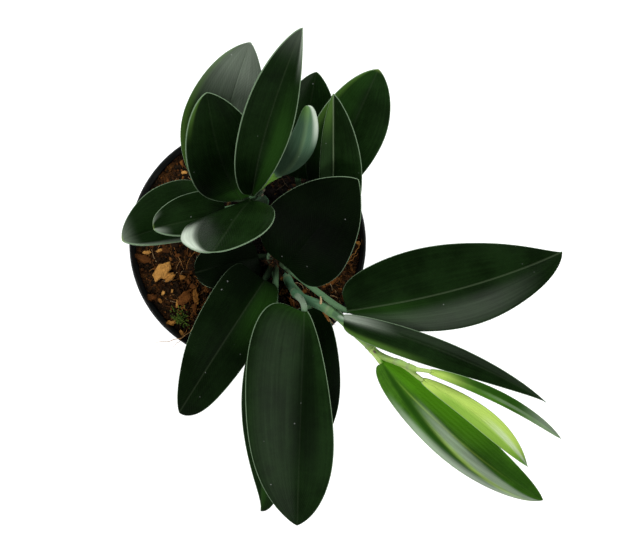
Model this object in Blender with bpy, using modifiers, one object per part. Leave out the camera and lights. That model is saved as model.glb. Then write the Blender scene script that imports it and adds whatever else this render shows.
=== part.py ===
"""A potted scindapsus seen at its real size: a round nursery pot, its mix, four stems and their leaves.

+X and +Y run across the pot, +Z is up. The origin is at the middle of the pot's flat base.
All sizes below are millimetres, and MM turns them into metres where a mesh is made.
"""
import bpy
import bmesh
import numpy as np

MM = 0.001

# Driving sizes of the pot
POT_HEIGHT = 105.0
RIM_RADIUS = 60.0
RIM_HEIGHT = 8.0
RIM_STEP = 1.2
BASE_RADIUS = 42.5
WALL = 0.9
FLOOR = 2.0
EDGE_ROUND = 0.5
POT_SEGMENTS = 48
DRAIN_HOLES = 6
DRAIN_RADIUS = 4.5
DRAIN_RING = 27.0
DRAIN_SIDES = 16

# Driving sizes of the mix
SOIL_HEIGHT = 100.5
SOIL_RINGS = 6
SOIL_LUMP = 2.4
SOIL_LUMPS = 60
SOIL_LUMP_REACH = 7.0
SOIL_LEAST = 0.2
SOIL_EDGE = 0.33
SOIL_SEED = 4

# Driving sizes of stems and leaves
GAP = 0.3
WELD = 0.00001
STEM_STEPS = 5
NODE_SWELL = 0.16
NODE_LENGTH = 2.2
HEADING_STEP = 0.02
PETIOLE_RADIUS = 1.5
PETIOLE_ROWS = 3
PETIOLE_LEAN = 0.7
PETIOLE_LEAVE = 0.35
PETIOLE_ARRIVE = 0.3
BLADE_ROWS = 10
BLADE_COLUMNS = 6
BLADE_THICK = 1.0
MARGIN_THICK = 0.7
RIB_THICK = 0.9
TIP_HALF_WIDTH = 0.4
OPENING_WIDTH = 3.0

# Each stem: the points that it passes through, then its radius at even steps from its foot to its end
STEMS = {
    "stem_upright": {"points": [(9, 21, 60), (8, 21, 95), (6.5, 21, 120), (6, 22, 143), (8, 25.5, 164)],
                     "radius": (3.2, 2.6)},
    "stem_back": {"points": [(36, -4, 60), (37, -2, 92), (38, 1, 115), (38.5, 4, 137)],
                  "radius": (3.0, 2.4)},
    "stem_low": {"points": [(11, -5, 60), (12, -6, 88), (13, -7, 103), (15, -8, 116)],
                 "radius": (3.2, 2.8)},
    "stem_trailing": {"points": [(18, -11, 62), (18.5, -14, 93), (22.5, -22.5, 110), (27, -27, 121),
                                 (36.5, -31, 125), (45.5, -36.2, 127.5), (56, -46.5, 130.5), (65.5, -55, 132),
                                 (77, -59.5, 136), (84, -62.5, 138)],
                      "radius": (2.3, 2.3, 2.0, 2.5, 1.7, 1.4)},
}

# Each leaf: its stem, how far along that stem its stalk leaves (0 to 1), and where its blade starts and ends.
# "width" is the half width left and right of the midrib, seen from the base, and "belly" moves the widest
# place of each half: under 1 towards the base, over 1 towards the tip. "base_ends" and "tip_ends" say how
# blunt each half is at its ends, from 0.8 (round) to 1.8 (drawn out), and "lobe" how far it reaches back past
# the base. "bow" arches the midrib up and "sway" bends it to the right. "roll" turns the blade about its
# midrib, right half up, "fold" lifts both halves, and "curl" bends each half on its way to the margin.
# Angles are degrees. "arrive" is the share of the stalk that already follows the midrib.
LEAVES = {
    "leaf_left": {"stem": "stem_upright", "at": 0.43, "base": (-16.5, 15.5, 113), "tip": (-57, 0, 157),
                  "width": (11.5, 20), "belly": (0.85, 0.9), "base_ends": (0.9, 0.9),
                  "tip_ends": (1.2, 1.2), "bow": 6, "roll": -10, "fold": 20},
    "leaf_back_left": {"stem": "stem_upright", "at": 0.5, "base": (-12.5, 24.5, 131),
                       "tip": (5.5, 88, 197), "width": (20, 18), "belly": (1.0, 1.0),
                       "base_ends": (1.0, 1.0), "tip_ends": (1.5, 1.5), "bow": 8, "sway": -3},
    "leaf_small_left": {"stem": "stem_upright", "at": 0.58, "base": (-9.5, 13.5, 137),
                        "tip": (-41.5, 5.5, 164), "width": (8, 13), "base_ends": (0.9, 0.9),
                        "tip_ends": (1.1, 0.8), "bow": 5},
    "leaf_front_left": {"stem": "stem_upright", "at": 0.66, "base": (-1.5, 21, 146),
                        "tip": (-13.5, 64.5, 205), "width": (16, 21), "belly": (0.9, 0.95),
                        "base_ends": (1.0, 0.9), "tip_ends": (1.3, 1.3), "lobe": (0.0, 0.03), "bow": 6,
                        "sway": -3},
    "leaf_steep": {"stem": "stem_upright", "at": 0.86, "base": (4, 18.5, 163), "tip": (-9, -6.5, 225),
                   "width": (17.5, 28), "belly": (1.15, 0.85), "base_ends": (1.2, 0.9),
                   "tip_ends": (1.2, 1.2), "lobe": (0.01, 0.01), "bow": 4, "roll": -36, "fold": -3},
    "leaf_tall": {"stem": "stem_upright", "at": 0.95, "base": (5.5, 21, 178), "tip": (29.3, 88.8, 233),
                  "width": (12, 11.5), "belly": (0.95, 1.0), "base_ends": (0.9, 2.0),
                  "tip_ends": (1.4, 2.0), "bow": 6, "sway": -2, "fold": 20},
    "leaf_furled": {"stem": "stem_upright", "at": 0.98, "base": (17.5, 30, 177), "tip": (31, 58, 211),
                    "width": (11.3, 11), "belly": (0.9, 0.75), "base_ends": (0.8, 0.8),
                    "tip_ends": (0.9, 1.2), "bow": 4, "sway": 5, "roll": 170, "fold": 0,
                    "curl": (105, 105), "columns": 10},
    "leaf_dark_back": {"stem": "stem_back", "at": 0.62, "base": (25.5, 33.5, 113), "tip": (35, 80, 157),
                       "width": (15, 15), "belly": (1.0, 1.0), "bow": 6},
    "leaf_broad_back": {"stem": "stem_back", "at": 0.75, "base": (38.5, 24, 137), "tip": (63.5, 78, 181),
                        "width": (17, 16), "belly": (1.0, 1.15), "base_ends": (1.1, 1.1),
                        "tip_ends": (1.4, 1.4), "bow": 6},
    "leaf_folded": {"stem": "stem_back", "at": 0.95, "base": (43, 9.5, 147), "tip": (42.6, 65, 197),
                    "width": (7, 14), "base_ends": (1.0, 1.0), "tip_ends": (1.5, 1.5), "bow": 6,
                    "fold": 25},
    "leaf_under": {"stem": "stem_low", "at": 0.8, "base": (5, -7, 108), "tip": (-25.8, -15, 114),
                   "width": (13, 13), "base_ends": (0.9, 0.9), "tip_ends": (0.9, 0.9), "bow": 3},
    "leaf_bottom_left": {"stem": "stem_low", "at": 0.86, "base": (14, -34.5, 117),
                         "tip": (5.5, -140.2, 73), "width": (14, 13.5), "belly": (1.0, 0.8),
                         "base_ends": (1.0, 1.0), "tip_ends": (1.0, 3.5), "bow": 8},
    "leaf_lower_left": {"stem": "stem_low", "at": 0.92, "base": (9, -18.5, 119), "tip": (-36, -87, 89),
                        "width": (15, 19), "belly": (0.9, 0.6), "base_ends": (0.65, 0.65),
                        "tip_ends": (0.9, 1.6), "bow": 8},
    "leaf_centre": {"stem": "stem_low", "at": 0.98, "base": (20.5, -11.5, 127), "tip": (54, 27, 189),
                    "width": (24, 22), "belly": (0.85, 0.8), "base_ends": (0.9, 0.9),
                    "tip_ends": (1.4, 1.6), "bow": 4},
    "leaf_bottom_right": {"stem": "stem_trailing", "at": 0.33, "base": (31, -33, 115),
                          "tip": (35.5, -106, 81), "width": (14, 14), "belly": (0.85, 0.9),
                          "tip_ends": (1.7, 1.5), "bow": 6},
    "leaf_bottom": {"stem": "stem_trailing", "at": 0.44, "base": (29, -34, 133), "tip": (25, -144, 97),
                    "width": (17, 28), "belly": (1.2, 0.78), "base_ends": (1.1, 0.9),
                    "tip_ends": (1.7, 1.5), "lobe": (0.015, 0.065), "bow": 10},
    "leaf_right": {"stem": "stem_low", "at": 0.84, "base": (50, -33.5, 131), "tip": (157, -4.5, 119),
                   "width": (24, 19), "belly": (0.8, 1.0), "base_ends": (0.9, 1.2),
                   "tip_ends": (2.3, 1.3), "lobe": (0.03, -0.03), "bow": 8, "sway": 4, "roll": -6, "fold": 10, "arrive": 0.08},
    "leaf_narrow_right": {"stem": "stem_trailing", "at": 0.61, "base": (48.5, -38, 135),
                          "tip": (149.4, -79.6, 117), "width": (5, 9.5), "belly": (0.8, 0.7),
                          "base_ends": (0.9, 0.9), "tip_ends": (1.6, 2.4), "lobe": (0.03, 0.0), "bow": 8,
                          "sway": -4.3},
    "leaf_bright": {"stem": "stem_trailing", "at": 0.81, "base": (67, -59, 132),
                    "tip": (149.8, -130.2, 103), "width": (10, 13.5), "base_ends": (1.0, 1.0),
                    "lobe": (0.03, 0.02), "bow": 8, "sway": 3},
    "leaf_new": {"stem": "stem_trailing", "at": 0.93, "base": (87, -67.5, 136),
                 "tip": (139.3, -110.8, 125), "width": (6, 5), "belly": (1.1, 1.0),
                 "base_ends": (1.0, 1.0), "tip_ends": (2.4, 1.8), "bow": 6, "sway": -3.5, "stalk": 1.1},
    "leaf_thin_new": {"stem": "stem_trailing", "at": 0.98, "base": (90.5, -63, 140),
                      "tip": (155, -96.5, 129), "width": (3.2, 3), "base_ends": (1.0, 1.0),
                      "tip_ends": (1.4, 1.4), "bow": 6, "sway": -4, "stalk": 1.0},
}
LEAF_DEFAULTS = {"width": (20, 20), "belly": (0.9, 0.9), "base_ends": (0.9, 0.9), "tip_ends": (1.5, 1.5),
                 "lobe": (0.03, 0.03), "bow": 8, "sway": 0, "roll": 0, "fold": 12, "curl": (-12, -12),
                 "stalk": PETIOLE_RADIUS, "arrive": PETIOLE_ARRIVE, "columns": BLADE_COLUMNS}

# Colour, roughness and metallic value of each finish
FINISHES = {
    "pot_plastic": ((0.012, 0.012, 0.014), 0.45, 0.0),
    "mix": ((0.045, 0.022, 0.012), 0.95, 0.0),
    "stem_green": ((0.16, 0.30, 0.17), 0.55, 0.0),
    "leaf_dark": ((0.012, 0.045, 0.018), 0.4, 0.0),
    "leaf_young": ((0.20, 0.42, 0.06), 0.45, 0.0),
}
YOUNG_LEAVES = ("leaf_bright", "leaf_new", "leaf_thin_new")


def clear_scene():
    """Remove every object that is in the scene."""
    for old in list(bpy.data.objects):
        bpy.data.objects.remove(old, do_unlink=True)


def new_collection(name):
    """A collection under the scene's own."""
    made = bpy.data.collections.new(name)
    bpy.context.scene.collection.children.link(made)
    return made


def make_finish(name):
    """A plain Principled material with the colour, roughness and metallic value of FINISHES."""
    colour, roughness, metallic = FINISHES[name]
    made = bpy.data.materials.new(name)
    made.use_nodes = True
    shader = made.node_tree.nodes["Principled BSDF"]
    shader.inputs["Base Color"].default_value = (*colour, 1.0)
    shader.inputs["Roughness"].default_value = roughness
    shader.inputs["Metallic"].default_value = metallic
    made.diffuse_color = (*colour, 1.0)
    return made


def mesh_object(name, points, faces, collection, finish=None):
    """An object from points in millimetres and faces, shaded smooth."""
    mesh = bpy.data.meshes.new(name)
    mesh.from_pydata((np.asarray(points, float) * MM).tolist(), [], faces)
    mesh.validate()
    mesh.shade_smooth()
    made = bpy.data.objects.new(name, mesh)
    collection.objects.link(made)
    if finish is not None:
        mesh.materials.append(finish)
    return made


def as_cutter(made):
    """Mark an object as a guide that is not part of the model."""
    made.hide_render = True
    made.display_type = "WIRE"
    return made


def cut(made, cutter):
    """Take the cutter's shape out of an object."""
    modifier = made.modifiers.new("cut_" + cutter.name, "BOOLEAN")
    modifier.operation = "DIFFERENCE"
    modifier.solver = "EXACT"
    modifier.object = cutter


# Pot and mix

def wall_radius(height):
    """Outer radius of the pot's body at a height, a straight taper from base to rim."""
    top_radius = RIM_RADIUS - RIM_STEP
    return BASE_RADIUS + (top_radius - BASE_RADIUS) * height / POT_HEIGHT


def pot_profile():
    """Half section of the pot: up the inside, over the rim and down the outside."""
    rim_foot = POT_HEIGHT - RIM_HEIGHT
    return [
        (0, FLOOR),
        (wall_radius(FLOOR) - WALL, FLOOR),
        (wall_radius(rim_foot) - WALL, rim_foot),
        (RIM_RADIUS - RIM_STEP - EDGE_ROUND, POT_HEIGHT - EDGE_ROUND),
        (RIM_RADIUS - RIM_STEP, POT_HEIGHT),
        (RIM_RADIUS - EDGE_ROUND, POT_HEIGHT),
        (RIM_RADIUS, POT_HEIGHT - EDGE_ROUND),
        (RIM_RADIUS - EDGE_ROUND, rim_foot),
        (wall_radius(rim_foot), rim_foot),
        (wall_radius(EDGE_ROUND), EDGE_ROUND),
        (BASE_RADIUS - EDGE_ROUND, 0),
        (0, 0),
    ]


def make_pot(collection, cutters, finish):
    """The pot: its profile turned by Screw, with round drain holes through its floor."""
    profile = pot_profile()
    edges = [(i, i + 1) for i in range(len(profile) - 1)]
    mesh = bpy.data.meshes.new("pot")
    mesh.from_pydata([(r * MM, 0, z * MM) for r, z in profile], edges, [])
    mesh.materials.append(finish)
    pot = bpy.data.objects.new("pot", mesh)
    collection.objects.link(pot)
    screw = pot.modifiers.new("turn", "SCREW")
    screw.steps = POT_SEGMENTS
    screw.render_steps = POT_SEGMENTS
    screw.use_merge_vertices = True
    screw.merge_threshold = 0.0001
    for index in range(DRAIN_HOLES):
        angle = 2 * np.pi * (index + 0.5) / DRAIN_HOLES
        place = (DRAIN_RING * MM * np.cos(angle), DRAIN_RING * MM * np.sin(angle), FLOOR * MM / 2)
        bpy.ops.mesh.primitive_cylinder_add(vertices=DRAIN_SIDES, radius=DRAIN_RADIUS * MM, depth=3 * FLOOR * MM,
                                            location=place)
        hole = as_cutter(bpy.context.object)
        hole.name = f"drain_{index + 1}"
        for owner in list(hole.users_collection):
            owner.objects.unlink(hole)
        cutters.objects.link(hole)
        cut(pot, hole)
    return pot


def soil_relief(x, y):
    """Height of the mix over its mean level: round lumps at seeded places, the tallest one counts."""
    draws = np.random.default_rng(SOIL_SEED)
    reach = wall_radius(SOIL_HEIGHT)
    places = draws.uniform(-reach, reach, (SOIL_LUMPS, 2))
    heights = draws.uniform(SOIL_LEAST, 1.0, SOIL_LUMPS) * SOIL_LUMP
    away = np.hypot(x[..., None] - places[:, 0], y[..., None] - places[:, 1]) / SOIL_LUMP_REACH
    return (heights * np.clip(1 - away ** 2, 0, None)).max(axis=-1)


def make_soil(collection, finish):
    """The mix: a plug that fills the pot to just inside its wall, with a lumpy top."""
    bottom = FLOOR + GAP
    angle = 2 * np.pi * np.arange(POT_SEGMENTS) / POT_SEGMENTS
    top_radius = wall_radius(SOIL_HEIGHT) - WALL - GAP
    foot_radius = wall_radius(bottom) - WALL - GAP
    rings = []
    for radius in np.linspace(0, top_radius, SOIL_RINGS + 1)[1:]:
        x = radius * np.cos(angle)
        y = radius * np.sin(angle)
        fade = min(1.0, (1 - radius / top_radius) / SOIL_EDGE)
        rings.append(np.stack([x, y, SOIL_HEIGHT + fade * soil_relief(x, y)], axis=-1))
    foot = np.stack([foot_radius * np.cos(angle), foot_radius * np.sin(angle), np.full_like(angle, bottom)], -1)
    points = np.concatenate([[[0, 0, SOIL_HEIGHT]], *rings, foot, [[0, 0, bottom]]])
    n = POT_SEGMENTS
    faces = [(0, 1 + k, 1 + (k + 1) % n) for k in range(n)]
    for ring in range(SOIL_RINGS):
        start = 1 + ring * n
        for k in range(n):
            nxt = (k + 1) % n
            faces.append((start + k, start + n + k, start + n + nxt))
            faces.append((start + k, start + n + nxt, start + nxt))
    last = 1 + SOIL_RINGS * n
    faces += [(len(points) - 1, last + (k + 1) % n, last + k) for k in range(n)]
    return mesh_object("soil", points, faces, collection, finish)


# Stems

def smooth_path(points, steps):
    """A curve through the points: each span is a cubic whose ends follow the points on either side."""
    knots = np.asarray(points, float)
    slopes = np.gradient(knots, axis=0)
    t = np.linspace(0, 1, steps, endpoint=False)[:, None]
    spans = []
    for start, end, leave, arrive in zip(knots, knots[1:], slopes, slopes[1:]):
        spans.append((2 * t ** 3 - 3 * t ** 2 + 1) * start + (t ** 3 - 2 * t ** 2 + t) * leave
                     + (3 * t ** 2 - 2 * t ** 3) * end + (t ** 3 - t ** 2) * arrive)
    return np.concatenate(spans + [knots[-1:]])


def along(path):
    """How far along its path each point is, from 0 to 1."""
    steps = np.linalg.norm(np.diff(path, axis=0), axis=1)
    far = np.concatenate([[0], np.cumsum(steps)])
    return far / far[-1], far[-1]


def point_on(stem_name, share):
    """The point and the direction of a stem at a share of its length."""
    path = smooth_path(STEMS[stem_name]["points"], STEM_STEPS)
    share_at, _ = along(path)
    point = np.array([np.interp(share, share_at, path[:, k]) for k in range(3)])
    ahead = np.array([np.interp(min(share + HEADING_STEP, 1), share_at, path[:, k]) for k in range(3)])
    behind = np.array([np.interp(max(share - HEADING_STEP, 0), share_at, path[:, k]) for k in range(3)])
    heading = ahead - behind
    return point, heading / np.linalg.norm(heading)


def stem_radii(name, path):
    """Radius along a stem: an even taper, swollen a little where each leaf leaves."""
    share, length = along(path)
    steps = STEMS[name]["radius"]
    radii = np.interp(share, np.linspace(0, 1, len(steps)), steps)
    for leaf in LEAVES.values():
        if leaf["stem"] == name:
            radii *= 1 + NODE_SWELL * np.exp(-((share - leaf["at"]) * length / NODE_LENGTH) ** 2)
    return radii


def make_stem(name, collection, finish=None, extra=0.0):
    """A round stem as a bevelled curve with filled caps, made a mesh. extra makes it that much thicker."""
    path = smooth_path(STEMS[name]["points"], STEM_STEPS)
    radii = stem_radii(name, path) + extra
    if extra:
        path[0] += (path[0] - path[1]) / np.linalg.norm(path[0] - path[1]) * extra
        path[-1] += (path[-1] - path[-2]) / np.linalg.norm(path[-1] - path[-2]) * extra
    curve = bpy.data.curves.new(name, "CURVE")
    curve.dimensions = "3D"
    curve.bevel_depth = MM
    curve.bevel_resolution = 2
    curve.use_fill_caps = True
    spline = curve.splines.new("POLY")
    spline.points.add(len(path) - 1)
    for spline_point, place, radius in zip(spline.points, path, radii):
        spline_point.co = (*(place * MM), 1.0)
        spline_point.radius = radius
    guide = bpy.data.objects.new(name + "_curve", curve)
    bpy.context.scene.collection.objects.link(guide)
    evaluated = guide.evaluated_get(bpy.context.evaluated_depsgraph_get())
    mesh = bpy.data.meshes.new_from_object(evaluated)
    place = guide.matrix_world.copy()
    bpy.data.objects.remove(guide)
    shape = bmesh.new()
    shape.from_mesh(mesh)
    bmesh.ops.remove_doubles(shape, verts=shape.verts, dist=WELD)
    bmesh.ops.recalc_face_normals(shape, faces=shape.faces)
    shape.to_mesh(mesh)
    shape.free()
    mesh.shade_smooth()
    stem = bpy.data.objects.new(name, mesh)
    stem.matrix_world = place
    collection.objects.link(stem)
    if finish is not None:
        mesh.materials.append(finish)
    return stem


# Leaves

def unit(vectors):
    """The same vectors at length 1."""
    return vectors / np.linalg.norm(vectors, axis=-1, keepdims=True)


def blade_rib(leaf, u):
    """Midrib of a blade: a parabola from base to tip, arched up by bow and to the right by sway."""
    base = np.asarray(leaf["base"], float)
    tip = np.asarray(leaf["tip"], float)
    forward = unit(tip - base)
    side = unit(np.cross(forward, (0, 0, 1)))
    top = np.cross(side, forward)
    middle = (base + tip) / 2 + 2 * leaf["bow"] * top + 2 * leaf["sway"] * side
    u = u[:, None]
    rib = (1 - u) ** 2 * base + 2 * u * (1 - u) * middle + u ** 2 * tip
    heading = unit(2 * (1 - u) * (middle - base) + 2 * u * (tip - middle))
    return rib, heading, side


def stalk_rib(leaf, base_heading):
    """Stalk: a cubic that leaves the stem on its own heading and meets the blade on the midrib's."""
    start, stem_heading = point_on(leaf["stem"], leaf["at"])
    base = np.asarray(leaf["base"], float)
    reach = np.linalg.norm(base - start)
    outward = unit(unit(base - start) + PETIOLE_LEAN * stem_heading)
    first = start + outward * reach * PETIOLE_LEAVE
    second = base - base_heading * reach * leaf["arrive"]
    t = np.linspace(0, 1, PETIOLE_ROWS, endpoint=False)[:, None]
    rib = ((1 - t) ** 3 * start + 3 * t * (1 - t) ** 2 * first
           + 3 * t ** 2 * (1 - t) * second + t ** 3 * base)
    heading = unit((1 - t) ** 2 * (first - start) + 2 * t * (1 - t) * (second - first)
                   + t ** 2 * (base - second))
    return rib, heading


def leaf_surface(leaf):
    """Middle surface, normals and half thicknesses of stalk and blade, as arrays of rows by columns.

    Across a row, each half starts at the fold angle and bends by the curl angle to its margin, so it is an
    arc of a circle. Its half width follows a sine of the row, raised to a power that goes from the base's to
    the tip's. The stalk is the same surface, narrow and round, and opens into the blade.
    """
    t = np.linspace(0, 1, BLADE_ROWS + 1)
    u = (1 - np.cos(np.pi * t)) / 2
    rib, heading, side = blade_rib(leaf, u)
    stalk, stalk_heading = stalk_rib(leaf, heading[0])
    rib = np.concatenate([stalk, rib])
    heading = np.concatenate([stalk_heading, heading])
    t = np.concatenate([np.zeros(PETIOLE_ROWS), t])[:, None]
    across = np.linspace(-1, 1, leaf["columns"] + 1)[None, :]
    away = np.abs(across)

    right = unit(side - (heading @ side)[:, None] * heading)
    up = np.cross(right, heading)
    roll = np.radians(leaf["roll"])
    right, up = right * np.cos(roll) + up * np.sin(roll), up * np.cos(roll) - right * np.sin(roll)

    def pick(name):
        return np.where(across < 0, leaf[name][0], leaf[name][1])

    power = pick("base_ends") * (1 - t) + pick("tip_ends") * t
    blade_half = pick("width") * np.abs(np.sin(np.pi * t ** pick("belly"))) ** power
    half = np.hypot(blade_half, leaf["stalk"] * (1 - t) ** 2)
    half = np.maximum(half, TIP_HALF_WIDTH)
    flat = np.clip(blade_half / (OPENING_WIDTH * leaf["stalk"]), 0, 1)
    flat[len(stalk) + 1:] = 1

    fold = np.radians(leaf["fold"])
    curl = np.radians(pick("curl"))
    bend = fold + curl * away
    arc_out = half * (np.sin(bend) - np.sin(fold)) / curl
    arc_up = half * (np.cos(fold) - np.cos(bend)) / curl
    round_out = half * np.sin(away * np.pi / 2)
    out = np.sign(across) * (flat * arc_out + (1 - flat) * round_out)
    lift = flat * arc_up
    length = np.linalg.norm(np.subtract(leaf["tip"], leaf["base"]))
    back = -4 * pick("lobe") * length * np.sin(np.pi * t) * (1 - t) ** 3 * away

    surface = (rib[:, None] + heading[:, None] * back[..., None]
               + right[:, None] * out[..., None] + up[:, None] * lift[..., None])
    lean = flat * bend * np.sign(across)
    normals = up[:, None] * np.cos(lean)[..., None] - right[:, None] * np.sin(lean)[..., None]

    blade_thick = BLADE_THICK + (MARGIN_THICK - BLADE_THICK) * away
    stalk_thick = 2 * leaf["stalk"] * np.cos(away * np.pi / 2) + MARGIN_THICK * away
    upper = (flat * blade_thick + (1 - flat) * stalk_thick) / 2
    lower = upper + flat * RIB_THICK * (1 - t) * (away == 0)
    return surface, normals, upper, lower


def leaf_faces(rows, columns):
    """Triangles of a leaf's solid, the upper and the lower face split along the same diagonals."""
    ring = 2 * columns
    faces = []

    def upper(i, j):
        return i * ring + j

    def lower(i, j):
        return i * ring + ring - 1 - j

    for i in range(rows - 1):
        for j in range(columns - 1):
            faces.append((upper(i, j), upper(i, j + 1), upper(i + 1, j + 1)))
            faces.append((upper(i, j), upper(i + 1, j + 1), upper(i + 1, j)))
            faces.append((lower(i, j), lower(i + 1, j + 1), lower(i, j + 1)))
            faces.append((lower(i, j), lower(i + 1, j), lower(i + 1, j + 1)))
        end = columns - 1
        faces.append((upper(i, end), lower(i, end), lower(i + 1, end)))
        faces.append((upper(i, end), lower(i + 1, end), upper(i + 1, end)))
        faces.append((upper(i, 0), lower(i + 1, 0), lower(i, 0)))
        faces.append((upper(i, 0), upper(i + 1, 0), lower(i + 1, 0)))
    last = rows - 1
    for j in range(columns - 1):
        faces.append((upper(0, j), lower(0, j), lower(0, j + 1)))
        faces.append((upper(0, j), lower(0, j + 1), upper(0, j + 1)))
        faces.append((upper(last, j), lower(last, j + 1), lower(last, j)))
        faces.append((upper(last, j), upper(last, j + 1), lower(last, j + 1)))
    return faces


def make_leaf(name, leaf, collection, finish, stem_cutter):
    """A leaf, stalk and blade in one, with its stalk's foot cut to the stem it grows from."""
    surface, normals, upper, lower = leaf_surface(leaf)
    top = surface + normals * upper[..., None]
    under = surface - normals * lower[..., None]
    rings = np.concatenate([top, under[:, ::-1]], axis=1)
    faces = leaf_faces(*surface.shape[:2])
    made = mesh_object(name, rings.reshape(-1, 3), faces, collection, finish)
    cut(made, stem_cutter)
    return made


def build():
    """Make the whole plant in its pot."""
    clear_scene()
    model = new_collection("potted_scindapsus")
    cutters = new_collection("cutters")
    finishes = {name: make_finish(name) for name in FINISHES}
    make_pot(model, cutters, finishes["pot_plastic"])
    soil = make_soil(model, finishes["mix"])
    stem_cutters = {}
    for name in STEMS:
        make_stem(name, model, finishes["stem_green"])
        cutter = as_cutter(make_stem(name, cutters, extra=GAP))
        cutter.name = name + "_clearance"
        stem_cutters[name] = cutter
        cut(soil, cutter)
    for name, values in LEAVES.items():
        leaf = {**LEAF_DEFAULTS, **values}
        finish = finishes["leaf_young" if name in YOUNG_LEAVES else "leaf_dark"]
        make_leaf(name, leaf, model, finish, stem_cutters[leaf["stem"]])


build()
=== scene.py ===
"""The finished look of a potted scindapsus: pot, mix, stems and leaves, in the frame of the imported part.

Places and sizes are millimetres in the frame's own axes, and MM turns them into metres where a mesh is made.
Finishes work in metres, as the shader's own coordinates do.
"""
import bpy
import numpy as np
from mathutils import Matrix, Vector


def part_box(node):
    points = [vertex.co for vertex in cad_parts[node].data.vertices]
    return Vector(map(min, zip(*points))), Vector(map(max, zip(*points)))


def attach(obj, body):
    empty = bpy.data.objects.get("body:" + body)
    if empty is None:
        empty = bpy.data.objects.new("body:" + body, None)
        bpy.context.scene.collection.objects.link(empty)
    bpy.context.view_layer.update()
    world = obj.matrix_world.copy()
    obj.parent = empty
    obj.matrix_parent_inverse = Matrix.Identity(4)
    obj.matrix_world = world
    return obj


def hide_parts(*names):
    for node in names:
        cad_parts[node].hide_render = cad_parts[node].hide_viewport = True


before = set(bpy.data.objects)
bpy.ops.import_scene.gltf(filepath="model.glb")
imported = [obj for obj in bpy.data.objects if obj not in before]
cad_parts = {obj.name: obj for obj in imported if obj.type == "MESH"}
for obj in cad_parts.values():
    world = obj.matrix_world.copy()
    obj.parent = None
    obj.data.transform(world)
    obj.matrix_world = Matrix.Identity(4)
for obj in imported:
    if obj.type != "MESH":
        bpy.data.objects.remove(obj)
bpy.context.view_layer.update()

MM = 0.001
BODY = "root"

# Pot, with its height and rim read from the frame
POT_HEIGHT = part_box("pot")[1].z / MM
RIM_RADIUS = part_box("pot")[1].y / MM
RIM_HEIGHT = 8.0
RIM_STEP = 1.2
RIM_DRAFT = 0.25
RIM_LIP = 0.5
BASE_RADIUS = 42.5
FOOT_HEIGHT = 2.0
FOOT_CORNER = 0.6
FOOT_STEP = 0.5
WALL = 0.9
WALL_STARTS = (8.0, 4.0)
WALL_ROWS = (14, 30)
FLOOR = 2.0
FLOOR_CORNER = 1.0
POT_SEGMENTS = 192
CORNER_STEPS = 5
SHARP_EDGE = 50
DRAIN_HOLES = 6
DRAIN_RADIUS = 4.5
DRAIN_RING = 27.0
DRAIN_SIDES = 40
# Flutes: their number and depth, the heights where they fade in and out, and how much of a turn is pressed in
FLUTES = 24
FLUTE_DEPTH = 0.3
FLUTE_FOOT = (4.0, 9.0)
FLUTE_TOP = (62.0, 42.0)
FLUTE_EDGE = (0.35, 0.8)

# Mix
SOIL_HEIGHT = 100.5
SOIL_LUMP = 2.4
SOIL_LUMPS = 60
SOIL_LUMP_REACH = 7.0
SOIL_LEAST = 0.2
SOIL_EDGE = 0.33
SOIL_SEED = 4
SOIL_RINGS = 72
SOIL_SEGMENTS = 240
GAP = 0.3
# Crumbs of its top, as waves: their height, length and seed
CRUMB_WAVES = ((0.45, 4.5, 11), (0.3, 1.9, 12))
CRUMB_LIMIT = 1.2
CRUMB_EDGE = (-0.02, 0.04)
WAVES_EACH = 24
WAVE_SPREAD = (0.6, 1.7)

# Stems, and the ring on a stem behind each leaf: how far back it and its groove lie, and their heights
STEM_STEPS = 20
STEM_SIDES = 32
NODE_SWELL = 0.16
NODE_LENGTH = 2.2
RING_BACK = 2.4
RING_RISE = 0.16
RING_GROOVE_BACK = 3.4
RING_GROOVE = 0.1
RING_LENGTH = 0.5
RING_PALE_LENGTH = 0.9
YOUNG_STRETCH = (0.5, 0.9)
LEAST_END = 0.02
STEM_RIBS = 7
STEM_RIB_DEPTH = 0.012
STEM_BENDS = 3
STEM_BEND_DEPTH = 0.008
STREAK_LENGTH = 40
HEADING_STEP = 0.02

# Leaves
PETIOLE_RADIUS = 1.5
PETIOLE_LEAN = 0.7
PETIOLE_LEAVE = 0.35
PETIOLE_ARRIVE = 0.3
STALK_ROWS = 14
BLADE_ROWS = 84
INNER_COLUMNS = 20
MARGIN_COLUMNS = 4
COLUMN_CROWD = 1.5
BLADE_THICK = 1.0
MARGIN_THICK = 0.7
RIB_THICK = 0.9
RIB_WIDTH = 1.1
GROOVE_DEPTH = 0.12
GROOVE_WIDTH = 0.55
GROOVE_FADE = 0.3
TIP_HALF_WIDTH = 0.2
TIP_TAPER = 0.06
TIP_LEAST = 0.1
OPENING_WIDTH = 3.0
OPEN_BY = 0.1
FOOT_FLARE = 0.35
FOOT_LENGTH = 0.3
WOBBLE = 0.010
WOBBLES = 2.6
WAVE_RATES = (2.0, 3.2)
PLEATS = 5
PLEAT_EDGE = 0.95
LEAF_SEED = 100

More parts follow.
